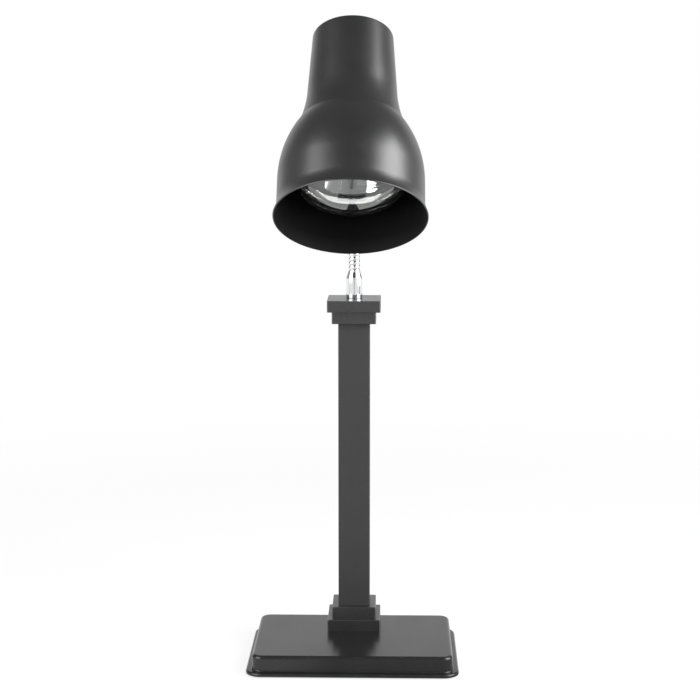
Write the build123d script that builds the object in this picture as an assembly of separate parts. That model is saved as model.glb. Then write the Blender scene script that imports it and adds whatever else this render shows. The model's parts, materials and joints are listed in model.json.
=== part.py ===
from build123d import *
import os
from math import atan2, cos, degrees, radians, sin, sqrt, tan

# Food heat lamp: a pressed base, a square post between two stepped collars, a gooseneck and a spun
# shade with a reflector bulb.
# Millimetres. +Z is up and -Y is the front. The origin is on the post's axis, in the plane that the
# feet stand on.

os.makedirs("parts", exist_ok=True)

# Base shell
base_width = 235.5
base_front = 126.0
base_back = 36.0
base_height = 24.5
base_corner_radius = 12.0
base_edge_radius = 4.0
base_foot_radius = 1.5
base_sheet = 1.2
flange_reach = 7.0
flange_height = 6.0
flange_edge_radius = 2.4
flange_underside = 2.0

# Underside
bottom_sheet = 1.2
bottom_plate_clearance = 0.1
foot_radius = 10.0
foot_inset = 16.0
foot_recess_radius = 5.6
foot_recess_depth = 2.6
foot_edge = 0.6
pillar_radius = 5.0
foot_screw_radius = 2.0
foot_screw_head_radius = 4.4
foot_screw_head_height = 1.6
foot_screw_length = 11.0
ballast_screw_length = 9.0
screw_clearance = 0.25
screw_slot = 0.8
screw_slot_share = 0.4
screw_head_bevel = 0.3
ballast_front_gap = 9.0
ballast_side_gap = 4.75
ballast_back_gap = 21.0
ballast_height = 13.0
ballast_corner_radius = 8.0
ballast_edge = 1.5
ballast_screw_spacing = 140.0

# Rear wall: switch and cable inlet
switch_x = 68.0
switch_bezel_width = 15.0
switch_bezel_height = 10.5
switch_bezel_thickness = 1.6
switch_bezel_corner_radius = 1.2
switch_bezel_edge_radius = 0.6
switch_body_width = 13.2
switch_body_height = 8.4
switch_body_depth = 14.0
blade_thickness = 0.8
blade_width = 4.8
blade_length = 6.0
blade_spacing = 7.0
rocker_width = 11.2
rocker_height = 6.4
rocker_clearance = 0.2
rocker_rim_height = 2.2
rocker_middle_height = 1.3
rocker_shoulder_depth = 0.4
rocker_root_depth = 2.6
rocker_root_width = 4.8
rocker_well_depth = 3.4
rocker_pin_radius = 0.8
rocker_pin_length = 7.6
rocker_pin_clearance = 0.05
rocker_pin_end_gap = 0.1
rocker_tip_angle = 8.0
gland_x = -68.0
gland_hex = 11.6
gland_hex_height = 4.0
gland_nose_radius = 5.6
gland_nose_edge_radius = 2.0
gland_thread_radius = 4.8
gland_bore_radius = 3.2
gland_nose_length = 11.0
gland_thread_length = 7.0
gland_nut_thickness = 3.0
hole_clearance = 0.2

# Wiring inside the base
terminal_width = 30.0
terminal_depth = 16.0
terminal_height = 12.0
terminal_screw_radius = 2.0
terminal_wire_radius = 1.6
terminal_edge = 1.0
terminal_screw_sunk = 1.0
terminal_slot = 0.7
terminal_x = -36.0
terminal_y = 10.0
earth_x = 36.0
earth_y = 10.0
earth_radius = 2.0
earth_length = 12.0
earth_nut_across_flats = 7.0
earth_nut_thickness = 3.2
earth_nut_height = 2.0

# Collars and post
collar_wide = 64.0
collar_wide_height = 14.0
collar_narrow = 53.0
collar_narrow_height = 14.5
collar_corner_radius = 1.5
collar_edge_radius = 0.8
collar_wall = 4.0
collar_pocket_depth = 8.0
collar_hollow_depth = 12.0
collar_hollow_corner_radius = 1.0
post_width = 38.0
post_wall = 1.5
post_corner_radius = 1.5
post_bore_corner_radius = 0.4
post_visible_length = 348.6
post_clearance = 0.1

# Tie tube through the post
tie_radius = 5.0
tie_bore_radius = 3.5
tie_nut_across_flats = 17.0
tie_nut_thickness = 5.0
tie_washer_radius = 13.0
tie_washer_thickness = 1.5
tie_tail = 2.0

# Gooseneck
hose_crest_radius = 7.1
hose_valley_radius = 6.0
hose_bore_radius = 3.0
hose_pitch = 5.2
hose_crest_width = 1.4
hose_flank_width = 0.8
hose_ribs_in_foot = 3
hose_ribs_in_head = 2
hose_ribs_per_link = 4
hose_joints = 9
hose_bend_radius = 50.0
hose_end_depth = 12.0
ball_radius = 4.9
ball_clearance = 0.05
socket_skirt = 1.2
ball_top = 2.5
ball_root = 0.4
bore_pieces = 6

# Ferrules
ferrule_radius = 9.9
ferrule_body_length = 25.5
ferrule_taper_length = 7.0
ferrule_mouth_wall = 0.45
ferrule_edge_radius = 0.6
ferrule_mouth_lean = 0.15
ferrule_thread_depth = 12.0
upper_ferrule_body_length = 15.0
hose_seat_clearance = 0.05

# Fixing of the shade to the gooseneck
saddle_radius = 12.0
saddle_thickness = 2.6
spigot_radius = 5.0
lock_washer_radius = 8.5
lock_washer_thickness = 1.2
lock_nut_across_flats = 15.0
lock_nut_thickness = 4.5
spigot_tail = 1.5

# Shade, from the rim to its closed top
shade_tilt = 32.5
shade_rim_radius = 85.0
shade_sheet = 1.5
lip_radius = 42.0
lip_angle = 24.0
shade_wall_length = 27.3
dome_radius = 127.0
dome_angle = 33.5
crease_radius = 16.0
crease_angle = 18.5
throat_radius = 152.0
neck_taper = 3.4
neck_length = 74.3
top_edge_radius = 3.0
attachment_below_edge = 56.0

# Lampholder and its bracket
bracket_width = 20.0
bracket_sheet = 2.0
bracket_arm_reach = 14.0
bracket_below_attachment = 10.0
bracket_wall_gap = 0.1
holder_skirt_wall = 5.2
holder_skirt_length = 22.0
holder_body_wall = 2.7
holder_length = 50.0
holder_bore_depth = 28.0
holder_edge_radius = 1.2
holder_screw_radius = 2.0
holder_screw_spacing = 18.0
holder_screw_length = 8.0
holder_screw_depth = 12.0
holder_screw_head_radius = 3.6
holder_screw_head_height = 2.0
screw_shell_thickness = 0.6
screw_shell_clearance = 0.4
cap_clearance = 0.6
screw_shell_lip = 1.0
contact_radius = 4.0
contact_gap = 0.3
contact_thickness = 1.5
contact_margin = 2.0

# Reflector bulb
bulb_radius = 62.5
bulb_inset = 15.6
bulb_crown_height = 35.0
bulb_shoulder_radius = 26.0
bulb_shoulder_turn = 30.0
bulb_back_radius = 160.0
bulb_back_turn = 12.0
bulb_throat_radius = 36.0
bulb_neck_taper = 3.0
bulb_neck_length = 40.0
bulb_heel_radius = 8.0
bulb_heel_turn = 62.0
bulb_collar_radius = 2.0
bulb_glass = 1.0
silver_thickness = 0.3
bulb_cap_radius = 13.2
bulb_cap_sheet = 0.5
bulb_cap_length = 22.0
bulb_cap_overlap = 4.0
bulb_cap_gap = 0.1
bulb_cap_edge = 1.0
insulator_height = 4.0
tip_radius = 4.8
tip_height = 2.0
tip_margin = 1.2
tip_edge_radius = 1.2
stem_radius = 5.0
stem_length = 62.0
stem_flare = 5.0
stem_end_radius = 2.0
filament_radius = 0.9
filament_span = 15.0
filament_gap = 60.0
filament_drop = 14.0
support_count = 6
support_radius = 0.6
support_root_radius = 3.0
support_gap = 0.15

# Heights up the post
lower_collar_foot = base_height
collar_height = collar_wide_height + collar_narrow_height
post_foot = lower_collar_foot + collar_height - collar_pocket_depth
upper_collar_foot = lower_collar_foot + collar_height + post_visible_length
post_length = post_visible_length + 2 * collar_pocket_depth
post_top = upper_collar_foot + collar_height
base_underside = base_height - base_sheet
plate_top = flange_height - base_sheet
plate_underside = plate_top - bottom_sheet
foot_height = plate_underside
rear_fitting_height = (flange_height + base_foot_radius + base_height - base_edge_radius) / 2

# Lengths along the gooseneck, measured up from the top of the upper collar
hose_start = ferrule_body_length + ferrule_taper_length
hose_ribs = hose_ribs_in_foot + (hose_joints - 1) * hose_ribs_per_link + hose_ribs_in_head
hose_end = hose_start + (hose_ribs + 1) * hose_pitch - hose_crest_width
attachment_drop = shade_tilt - neck_taper
hose_bend_angle = 90.0 - attachment_drop
hose_bend_length = hose_bend_radius * radians(hose_bend_angle)
bend_start = hose_end - hose_bend_length
upper_ferrule_length = upper_ferrule_body_length + ferrule_taper_length
wall_station = hose_end + upper_ferrule_length + saddle_thickness
ball_neck = hose_pitch - hose_crest_width - hose_flank_width
socket_radius = ball_radius + ball_clearance


def keep(name, *shapes):
    """Write the solids of one node to parts/NAME.step."""
    solids = [solid for shape in shapes for solid in shape.solids()]
    node = solids[0] if len(solids) == 1 else Compound(children=solids)
    node.label = name
    export_step(node, f"parts/{name}.step")


def disc(radius, foot, height):
    """A round bar on +Z from z = foot."""
    return Pos(0, 0, foot) * extrude(Circle(radius), height)


def hex_ring(across_flats, inner, foot, height):
    """A nut on +Z from z = foot."""
    outline = RegularPolygon(across_flats / 2, 6, major_radius=False) - Circle(inner)
    return Pos(0, 0, foot) * extrude(outline, height)


def turned(edges):
    """Revolve a closed outline, drawn as (radius, height), about Z."""
    return revolve(Plane.XZ * make_face(edges), Axis.Z)


def slotted_screw(head_radius, head_height, shank_radius, shank_length):
    """A slotted cheese-head screw with the seat of its head in z = 0 and its shank along +Z."""
    head = disc(head_radius, -head_height, head_height)
    head = chamfer(head.edges().group_by(Axis.Z)[0], head_height * screw_head_bevel)
    slot = Pos(0, 0, -head_height) * Box(3 * head_radius, screw_slot, 2 * head_height * screw_slot_share)
    return head - slot + disc(shank_radius, 0, shank_length)


def tangent_chain(start, heading, steps, inset=0.0):
    """Lines and arcs, each tangent to the one before, all moved to their left by inset.

    A step is ("line", length) or ("arc", radius, turn), where a positive turn bends to the left.
    """
    here = Vector(*start) + Vector(-sin(radians(heading)), cos(radians(heading))) * inset
    edges = []
    for step in steps:
        along = Vector(cos(radians(heading)), sin(radians(heading)))
        if step[0] == "line":
            edges.append(Line(here, here + along * step[1]))
        else:
            turn = step[2]
            radius = step[1] - inset if turn > 0 else step[1] + inset
            edges.append(JernArc(here, along, radius, turn))
            heading += turn
        here = edges[-1] @ 1
    return edges


# Base

base_middle = (base_back - base_front) / 2
foot_x = base_width / 2 - foot_inset
foot_front = -base_front + foot_inset
foot_back = base_back - foot_inset
ballast_width = 2 * (foot_x - pillar_radius - ballast_side_gap)
ballast_depth = base_front - ballast_front_gap - ballast_back_gap
ballast_middle = -ballast_back_gap - ballast_depth / 2


def base_form(inset, underside):
    """The outer form of the base, or its hollow when every face is moved in by inset."""
    width = base_width - 2 * inset
    depth = base_front + base_back - 2 * inset
    corner = base_corner_radius - inset
    step = flange_height - inset - underside
    block = extrude(RectangleRounded(width, depth, corner), base_height - inset - underside)
    block = fillet(block.edges().group_by(Axis.Z)[-1], base_edge_radius - inset)
    overall = 2 * flange_reach
    plate = extrude(RectangleRounded(width + overall, depth + overall, corner + flange_reach), step)
    plate = fillet(plate.edges().group_by(Axis.Z)[-1], flange_edge_radius - inset)
    form = block + plate
    inner_corner = [
        edge
        for edge in form.edges().filter_by_position(Axis.Z, step - 0.01, step + 0.01)
        if abs((edge @ 0.5).X) < width / 2 + 0.1 and abs((edge @ 0.5).Y) < depth / 2 + 0.1
    ]
    form = fillet(inner_corner, base_foot_radius + inset)
    return Pos(0, base_middle, underside) * form


def at_feet(shape):
    """A copy of the shape at each of the four feet."""
    return [Pos(x, y, 0) * shape for x in (-foot_x, foot_x) for y in (foot_front, foot_back)]


def at_ballast_screws(shape):
    """A copy of the shape at each of the ballast's two screws."""
    return [Pos(side * ballast_screw_spacing / 2, ballast_middle, 0) * shape for side in (-1, 1)]


def on_rear_wall(x):
    """The place on the rear wall at x, with +Z straight out of the wall and +Y up."""
    return Plane(origin=(x, base_back, rear_fitting_height), x_dir=(-1, 0, 0), z_dir=(0, 1, 0)).location


def make_base_shell():
    """The pressed tray with its holes for the tie tube, the switch and the gland."""
    shell = base_form(0.0, flange_underside) - base_form(base_sheet, flange_underside - 1.0)
    shell -= disc(tie_radius + hole_clearance, base_underside - 1, base_sheet + 2)
    through = 4 * base_sheet
    cutout = Box(
        switch_body_width + 2 * hole_clearance, switch_body_height + 2 * hole_clearance, through
    )
    shell -= on_rear_wall(switch_x) * cutout
    shell -= on_rear_wall(gland_x) * disc(gland_thread_radius + hole_clearance, -through / 2, through)
    return shell


def make_bottom_plate():
    """The flat cover under the flange, with holes for the feet's and the ballast's screws."""
    reach = 2 * (flange_reach - flange_edge_radius - bottom_plate_clearance)
    corner = base_corner_radius + reach / 2
    outline = RectangleRounded(base_width + reach, base_front + base_back + reach, corner)
    plate = Pos(0, base_middle, plate_underside) * extrude(outline, bottom_sheet)
    hole = disc(foot_screw_radius + screw_clearance, plate_underside - 1, bottom_sheet + 2)
    for cutter in at_feet(hole) + at_ballast_screws(hole):
        plate -= cutter
    return plate


def make_ballast():
    """The cast slab that keeps the lamp on its feet, tapped for two screws."""
    slab = extrude(RectangleRounded(ballast_width, ballast_depth, ballast_corner_radius), ballast_height)
    slab = chamfer(slab.edges().group_by(Axis.Z)[-1], ballast_edge)
    slab = Pos(0, ballast_middle, plate_top) * slab
    for cutter in at_ballast_screws(disc(foot_screw_radius, plate_top - 1, ballast_screw_length)):
        slab -= cutter
    return slab


def make_foot():
    """A rubber foot, recessed for the screw that holds it."""
    foot = disc(foot_radius, 0, foot_height)
    foot = chamfer(foot.edges().group_by(Axis.Z)[0], foot_edge)
    foot -= disc(foot_recess_radius, -1, foot_recess_depth + 1)
    return foot - disc(foot_screw_radius + screw_clearance, 0, foot_height + 1)


def make_pillar():
    """A pillar under the top of the shell, tapped for a foot's screw."""
    pillar = disc(pillar_radius, plate_top, base_underside - plate_top)
    return pillar - disc(foot_screw_radius, plate_top - 1, foot_screw_length)


def make_terminal_block():
    """A three-way terminal block that stands on the bottom plate, open for its screws and wires."""
    block = Pos(0, 0, terminal_height / 2) * Box(terminal_width, terminal_depth, terminal_height)
    block = chamfer(block.edges().group_by(Axis.Z)[-1], terminal_edge)
    for way in terminal_ways():
        block -= Pos(way, 0, 0) * disc(terminal_screw_radius, terminal_height / 2, terminal_height)
        block -= Pos(way, terminal_depth, terminal_height / 2) * Rot(90, 0, 0) * disc(
            terminal_wire_radius, 0, 2 * terminal_depth
        )
    return Pos(terminal_x, terminal_y, plate_top) * block


def terminal_ways():
    """The places of the three ways across the terminal block."""
    return [side * terminal_width / 3 for side in (-1, 0, 1)]


def make_terminal_screws():
    """The screws in the terminal block, their tips on the wires' holes."""
    foot = terminal_height / 2 + terminal_wire_radius
    top = terminal_height - terminal_screw_sunk
    screw = disc(terminal_screw_radius, foot, top - foot)
    screw -= Pos(0, 0, top) * Box(4 * terminal_screw_radius, terminal_slot, 1.0)
    return [Pos(terminal_x + way, terminal_y, plate_top) * screw for way in terminal_ways()]


def make_earth_stud():
    """The stud welded under the top of the shell."""
    return Pos(earth_x, earth_y, 0) * disc(earth_radius, base_underside - earth_length, earth_length)


def make_earth_nut():
    """The nut on the earth stud."""
    foot = base_underside - earth_length + earth_nut_height
    nut = hex_ring(earth_nut_across_flats, earth_radius, foot, earth_nut_thickness)
    return Pos(earth_x, earth_y, 0) * nut


# Switch and gland in the rear wall

def make_switch_body():
    """The switch's housing: a bezel outside the wall, a box inside it and a well for the rocker."""
    outline = RectangleRounded(switch_bezel_width, switch_bezel_height, switch_bezel_corner_radius)
    bezel = extrude(outline, switch_bezel_thickness)
    bezel = fillet(bezel.edges().group_by(Axis.Z)[-1], switch_bezel_edge_radius)
    body = bezel + Pos(0, 0, -switch_body_depth / 2) * Box(
        switch_body_width, switch_body_height, switch_body_depth
    )
    for side in (-1, 1):
        foot = -switch_body_depth - blade_length / 2
        body += Pos(side * blade_spacing / 2, 0, foot) * Box(blade_thickness, blade_width, blade_length)
    well_width = rocker_width + 4 * rocker_clearance
    well = Box(well_width, rocker_height + 2 * rocker_clearance, 2 * rocker_well_depth)
    pin_length = rocker_pin_length + 2 * rocker_pin_end_gap
    pivot = Rot(90, 0, 0) * Cylinder(rocker_pin_radius + rocker_pin_clearance, pin_length)
    return on_rear_wall(switch_x) * (body - well - pivot)


def make_rocker():
    """The rocker in its off position: a shallow V outside, a narrowing root and a pin across it."""
    half, root = rocker_width / 2, rocker_root_width / 2
    outline = Polygon(
        (-half, rocker_rim_height), (-half, -rocker_shoulder_depth), (-root, -rocker_root_depth),
        (root, -rocker_root_depth), (half, -rocker_shoulder_depth), (half, rocker_rim_height),
        (0, rocker_middle_height),
        align=None,
    )
    rocker = Rot(90, 0, 0) * extrude(outline, rocker_height / 2, both=True)
    rocker += Rot(90, 0, 0) * Cylinder(rocker_pin_radius, rocker_pin_length)
    return on_rear_wall(switch_x) * Rot(0, rocker_tip_angle, 0) * rocker


def make_gland():
    """The cable gland: hexagon, domed nose and the thread through the wall."""
    hexagon = RegularPolygon(gland_hex / 2, 6, major_radius=False)
    gland = extrude(hexagon, gland_hex_height)
    nose = disc(gland_nose_radius, gland_hex_height, gland_nose_length - gland_hex_height)
    nose = fillet(nose.edges().group_by(Axis.Z)[-1], gland_nose_edge_radius)
    gland += nose + disc(gland_thread_radius, -gland_thread_length, gland_thread_length)
    bore_length = gland_thread_length + gland_nose_length
    gland -= disc(gland_bore_radius, -gland_thread_length - 1, bore_length + 2)
    return on_rear_wall(gland_x) * gland


def make_gland_nut():
    """The nut that holds the gland from inside."""
    nut = hex_ring(gland_hex, gland_thread_radius, -base_sheet - gland_nut_thickness, gland_nut_thickness)
    return on_rear_wall(gland_x) * nut


# Post and collars

def make_collar(cored_from_post):
    """A collar with its wide step down and a pocket for the post on top.

    The lower collar is hollow underneath. The upper one is used upside down, so its wide face is
    closed and it is cored from the pocket instead.
    """
    wide = extrude(RectangleRounded(collar_wide, collar_wide, collar_corner_radius), collar_wide_height)
    wide = fillet(wide.edges().group_by(Axis.Z)[-1], collar_edge_radius)
    narrow = extrude(
        RectangleRounded(collar_narrow, collar_narrow, collar_corner_radius), collar_narrow_height
    )
    narrow = fillet(narrow.edges().group_by(Axis.Z)[-1], collar_edge_radius)
    collar = wide + Pos(0, 0, collar_wide_height) * narrow
    seat = post_width + 2 * post_clearance
    pocket = extrude(RectangleRounded(seat, seat, post_corner_radius + post_clearance), collar_pocket_depth)
    pocket_floor = collar_height - collar_pocket_depth
    collar -= Pos(0, 0, pocket_floor) * pocket
    if cored_from_post:
        foot, depth, width = collar_wall, pocket_floor - collar_wall, post_width - 2 * collar_wall
    else:
        foot, depth, width = 0.0, collar_hollow_depth, collar_wide - 2 * collar_wall
    hollow = RectangleRounded(width, width, collar_hollow_corner_radius)
    collar -= Pos(0, 0, foot) * extrude(hollow, depth)
    collar += disc(tie_radius + collar_wall, foot, depth)
    return collar - disc(tie_radius + hole_clearance, -1, collar_height)


def make_post():
    """The square tube of the post."""
    bore = post_width - 2 * post_wall
    outline = RectangleRounded(post_width, post_width, post_corner_radius)
    outline -= RectangleRounded(bore, bore, post_bore_corner_radius)
    return Pos(0, 0, post_foot) * extrude(outline, post_length)


def make_tie_tube():
    """The hollow rod that pulls the base, the collars and the post together."""
    foot = base_underside - tie_washer_thickness - tie_nut_thickness - tie_tail
    length = post_top + ferrule_thread_depth - foot
    return disc(tie_radius, foot, length) - disc(tie_bore_radius, foot - 1, length + 2)


def make_tie_washer():
    """The washer under the top of the shell."""
    foot = base_underside - tie_washer_thickness
    washer = disc(tie_washer_radius, foot, tie_washer_thickness)
    return washer - disc(tie_radius + hole_clearance, foot - 1, tie_washer_thickness + 2)


def make_tie_nut():
    """The nut at the tie tube's foot."""
    foot = base_underside - tie_washer_thickness - tie_nut_thickness
    return hex_ring(tie_nut_across_flats, tie_radius, foot, tie_nut_thickness)


# Gooseneck

def hose_frame(station):
    """The frame on the gooseneck's centre line, +Z along the line towards the shade, +X to the right.

    The line runs straight up to the bend, round the bend towards the front, and straight on.
    """
    angle = min(max(station - bend_start, 0.0), hose_bend_length) / hose_bend_radius
    beyond = max(station - hose_end, 0.0)
    rise = min(station, bend_start) + hose_bend_radius * sin(angle) + beyond * cos(angle)
    forward = hose_bend_radius * (1 - cos(angle)) + beyond * sin(angle)
    return Plane(
        origin=(0, -forward, post_top + rise), x_dir=(1, 0, 0), z_dir=(0, -sin(angle), cos(angle))
    )


def hose_skin(stations):
    """A ruled solid through a circle at each (station, radius) of the gooseneck."""
    return loft([hose_frame(station) * Circle(radius) for station, radius in stations], ruled=True)


def rib_station(rib):
    """Where the crest of a rib begins."""
    return hose_start - hose_crest_width + (rib + 1) * hose_pitch


def joint_station(joint):
    """The point that the gooseneck bends about at one of its joints."""
    return rib_station(hose_ribs_in_foot + joint * hose_ribs_per_link)


def make_hose_link(link):
    """One stiff stretch of the gooseneck: ribs, a socket round the ball below and a ball on top.

    Link 0 ends in a plain sleeve inside the lower ferrule, and the last one in the upper ferrule.
    """
    is_first, is_last = link == 0, link == hose_joints
    first_rib = 0 if is_first else hose_ribs_in_foot + (link - 1) * hose_ribs_per_link
    last_rib = hose_ribs if is_last else hose_ribs_in_foot + link * hose_ribs_per_link
    if is_first:
        outline = [
            (hose_start - hose_end_depth, hose_crest_radius),
            (hose_start, hose_crest_radius),
            (hose_start + hose_flank_width, hose_valley_radius),
        ]
    else:
        outline = [(joint_station(link - 1) - socket_skirt, hose_valley_radius)]
    for rib in range(first_rib, last_rib):
        crest = rib_station(rib)
        outline += [
            (crest - hose_flank_width, hose_valley_radius),
            (crest, hose_crest_radius),
            (crest + hose_crest_width, hose_crest_radius),
            (crest + hose_crest_width + hose_flank_width, hose_valley_radius),
        ]
    if is_last:
        outline += [
            (hose_end - hose_flank_width, hose_valley_radius),
            (hose_end, hose_crest_radius),
            (hose_end + hose_end_depth, hose_crest_radius),
        ]
    skin = hose_skin(outline)
    if not is_first:
        skin -= hose_frame(joint_station(link - 1)).location * Sphere(socket_radius)
    if not is_last:
        sunk = ball_neck + ball_root
        band = Pos(0, 0, (ball_top - sunk) / 2) * Box(4 * ball_radius, 4 * ball_radius, ball_top + sunk)
        skin += hose_frame(joint_station(link)).location * (Sphere(ball_radius) & band)
    bore_foot = outline[0][0] - 1.0
    bore_top = outline[-1][0] + (1.0 if is_last else ball_neck + ball_top + 1.0)
    bore = [
        (bore_foot + (bore_top - bore_foot) * piece / bore_pieces, hose_bore_radius)
        for piece in range(bore_pieces + 1)
    ]
    return skin - hose_skin(bore)


def make_ferrule(body_length):
    """A ferrule with its body's foot in z = 0 and its mouth, round the hose, at the top."""
    length = body_length + ferrule_taper_length
    outline = Polyline(
        (0, 0), (ferrule_radius - ferrule_edge_radius, 0), (ferrule_radius, ferrule_edge_radius),
        (ferrule_radius, body_length),
    )
    seat_radius = hose_crest_radius + hose_seat_clearance
    mouth = (seat_radius + ferrule_mouth_wall, length)
    shoulder = Spline(outline @ 1, mouth, tangents=[(0, 1), (-ferrule_mouth_lean, 1)])
    close = Polyline(shoulder @ 1, (0, length), (0, 0))
    ferrule = turned([outline, shoulder, close])
    return ferrule - disc(seat_radius, length - hose_end_depth, length)


def make_lower_ferrule():
    """The ferrule on the upper collar, threaded on the tie tube."""
    ferrule = make_ferrule(ferrule_body_length) - disc(tie_radius, -1, ferrule_thread_depth + 1)
    return hose_frame(0).location * (ferrule - disc(tie_bore_radius, 0, hose_start))


def make_upper_ferrule():
    """The ferrule behind the shade, with the threaded spigot that goes through its wall."""
    spigot = disc(spigot_radius, -spigot_length, spigot_length + 1)
    ferrule = make_ferrule(upper_ferrule_body_length) + spigot
    ferrule -= disc(hose_bore_radius, -spigot_length - 1, spigot_length + upper_ferrule_length)
    return hose_frame(hose_end + upper_ferrule_length).location * Rot(180, 0, 0) * ferrule


# Shade, drawn as (radius, distance from the rim along its axis)

shade_steps = [
    ("arc", lip_radius, -lip_angle),
    ("line", shade_wall_length),
    ("arc", dome_radius, dome_angle),
    ("arc", crease_radius, crease_angle - dome_angle),
    ("arc", throat_radius, neck_taper - crease_angle),
    ("line", neck_length),
    ("arc", top_edge_radius, 90.0 - neck_taper),
]
neck_step = 5


def shade_skin(inset):
    """The shade's outline from its rim to its axis, moved inwards by inset."""
    edges = tangent_chain((shade_rim_radius, 0), 90.0 + lip_angle, shade_steps, inset)
    top = edges[-1] @ 1
    return edges + [Line(top, (0, top.Y))]


outer_skin = shade_skin(0.0)
neck_line = outer_skin[neck_step]
attachment = neck_line @ (1.0 - attachment_below_edge / neck_length)
wall_frame = hose_frame(wall_station)
shade_axis = Vector(0, sin(radians(shade_tilt)), cos(radians(shade_tilt)))
shade_back = Vector(0, cos(radians(shade_tilt)), -sin(radians(shade_tilt)))
rim_centre = wall_frame.origin - shade_back * attachment.X - shade_axis * attachment.Y
head = Plane(origin=rim_centre, x_dir=(1, 0, 0), z_dir=shade_axis).location
shade_length = (outer_skin[-1] @ 1).Y


def neck_radius(station):
    """The outer radius of the shade's neck at a distance from the rim."""
    return attachment.X - (station - attachment.Y) * tan(radians(neck_taper))


def make_shade():
    """The spun shade: its outline revolved, with a rounded rim and the hole for the spigot."""
    inner_skin = shade_skin(shade_sheet)
    rim_start, rim_end = inner_skin[0] @ 0, outer_skin[0] @ 0
    rim = JernArc(rim_start, -(inner_skin[0] % 0), shade_sheet / 2, 180)
    crown = Line(outer_skin[-1] @ 1, inner_skin[-1] @ 1)
    shade = head * turned(outer_skin + inner_skin + [rim, crown])
    return shade - wall_frame.location * disc(spigot_radius + hole_clearance, -shade_sheet, 4 * shade_sheet)


def shade_filled():
    """The shade's outer form with no hollow, for shaping what seats on it."""
    start = outer_skin[0] @ 0
    edges = outer_skin + [Line(outer_skin[-1] @ 1, (0, 0)), Line((0, 0), start)]
    return head * turned(edges)


def make_saddle():
    """The washer between the ferrule and the neck, flat on one side and hollowed to the neck."""
    saddle = disc(saddle_radius, -saddle_thickness, 2 * saddle_thickness)
    saddle -= disc(spigot_radius + hole_clearance, -2 * saddle_thickness, 4 * saddle_thickness)
    return wall_frame.location * saddle - shade_filled()


# Bulb, drawn as (radius, distance from the shade's rim along its axis)

crown_run = bulb_radius - bulb_shoulder_radius
crown_rise = bulb_crown_height - bulb_shoulder_radius
crown_turn = 2 * degrees(atan2(crown_rise, crown_run))
crown_radius = crown_run / sin(radians(crown_turn)) + bulb_shoulder_radius
bulb_slope = bulb_shoulder_turn + bulb_back_turn
front_steps = [("arc", crown_radius, crown_turn), ("arc", bulb_shoulder_radius, 90.0 - crown_turn)]
heel_steps = [
    ("arc", bulb_heel_radius, bulb_heel_turn),
    ("arc", bulb_collar_radius, -bulb_heel_turn - bulb_neck_taper),
    ("line", bulb_cap_overlap),
]


def bulb_back(cone_length):
    """The steps of the bulb's back, from its widest place to the end of its neck."""
    return [
        ("arc", bulb_shoulder_radius, bulb_shoulder_turn),
        ("arc", bulb_back_radius, bulb_back_turn),
        ("line", cone_length),
        ("arc", bulb_throat_radius, bulb_neck_taper - bulb_slope),
        ("line", bulb_neck_length),
    ]


# The cone in the bulb's back is as long as brings the end of the glass into the cap
glass_end_radius = bulb_cap_radius - bulb_cap_sheet - bulb_cap_gap
trial = tangent_chain((bulb_radius, 0), 90.0, bulb_back(1.0) + heel_steps)
cone_length = 1.0 + ((trial[-1] @ 1).X - glass_end_radius) / sin(radians(bulb_slope))
back_steps = bulb_back(cone_length)


def glass_skin(inset):
    """The bulb's outline from its front to the end inside its cap, moved inwards by inset."""
    return tangent_chain((0, bulb_inset), 0.0, front_steps + back_steps + heel_steps, inset)


outer_glass = glass_skin(0.0)
cap_foot = (outer_glass[-1] @ 0).Y
cap_top = cap_foot + bulb_cap_length
tip_foot = cap_top + insulator_height
tip_top = tip_foot + tip_height
bore_floor = tip_top + contact_gap + contact_thickness
screw_shell_radius = bulb_cap_radius + cap_clearance + screw_shell_thickness
holder_bore_radius = screw_shell_radius + screw_shell_clearance
holder_mouth = bore_floor - holder_bore_depth
holder_back = holder_mouth + holder_length
bracket_top = holder_back + bracket_sheet


def make_bulb_glass():
    """The clear envelope."""
    inner_glass = glass_skin(bulb_glass)
    front = Line(outer_glass[0] @ 0, inner_glass[0] @ 0)
    back = Line(outer_glass[-1] @ 1, inner_glass[-1] @ 1)
    return turned(outer_glass + inner_glass + [front, back])


def make_bulb_silver():
    """The silvering inside the glass, from its widest place to the end of its neck."""
    start = (bulb_radius, bulb_inset + bulb_crown_height)
    outer = tangent_chain(start, 90.0, back_steps, bulb_glass)
    inner = tangent_chain(start, 90.0, back_steps, bulb_glass + silver_thickness)
    ends = [Line(outer[0] @ 0, inner[0] @ 0), Line(outer[-1] @ 1, inner[-1] @ 1)]
    return turned(outer + inner + ends)


def make_bulb_cap():
    """The thin screw cap round the end of the glass."""
    cap = disc(bulb_cap_radius, cap_foot, bulb_cap_length)
    cap = chamfer(cap.edges().group_by(Axis.Z)[-1], bulb_cap_edge)
    return cap - disc(bulb_cap_radius - bulb_cap_sheet, cap_foot - 1, bulb_cap_length)


def make_bulb_insulator():
    """The black glass cone between the cap and the tip."""
    cone = Cone(bulb_cap_radius - bulb_cap_edge, tip_radius + tip_margin, insulator_height)
    return Pos(0, 0, cap_top + insulator_height / 2) * cone


def make_bulb_tip():
    """The contact at the very end."""
    tip = disc(tip_radius, tip_foot, tip_height)
    return fillet(tip.edges().group_by(Axis.Z)[-1], tip_edge_radius)


def make_glass_stem():
    """The stem that carries the filament, flared where it joins the glass inside the cap."""
    top = (outer_glass[-1] @ 1).Y
    foot = top - stem_length
    rod = disc(stem_radius, foot, stem_length)
    rod = fillet(rod.edges().group_by(Axis.Z)[0], stem_end_radius)
    flare_radius = (outer_glass[-1] @ 1).X - bulb_glass
    flare = Pos(0, 0, top - stem_flare / 2) * Cone(stem_radius, flare_radius, stem_flare)
    return rod + flare


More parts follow.
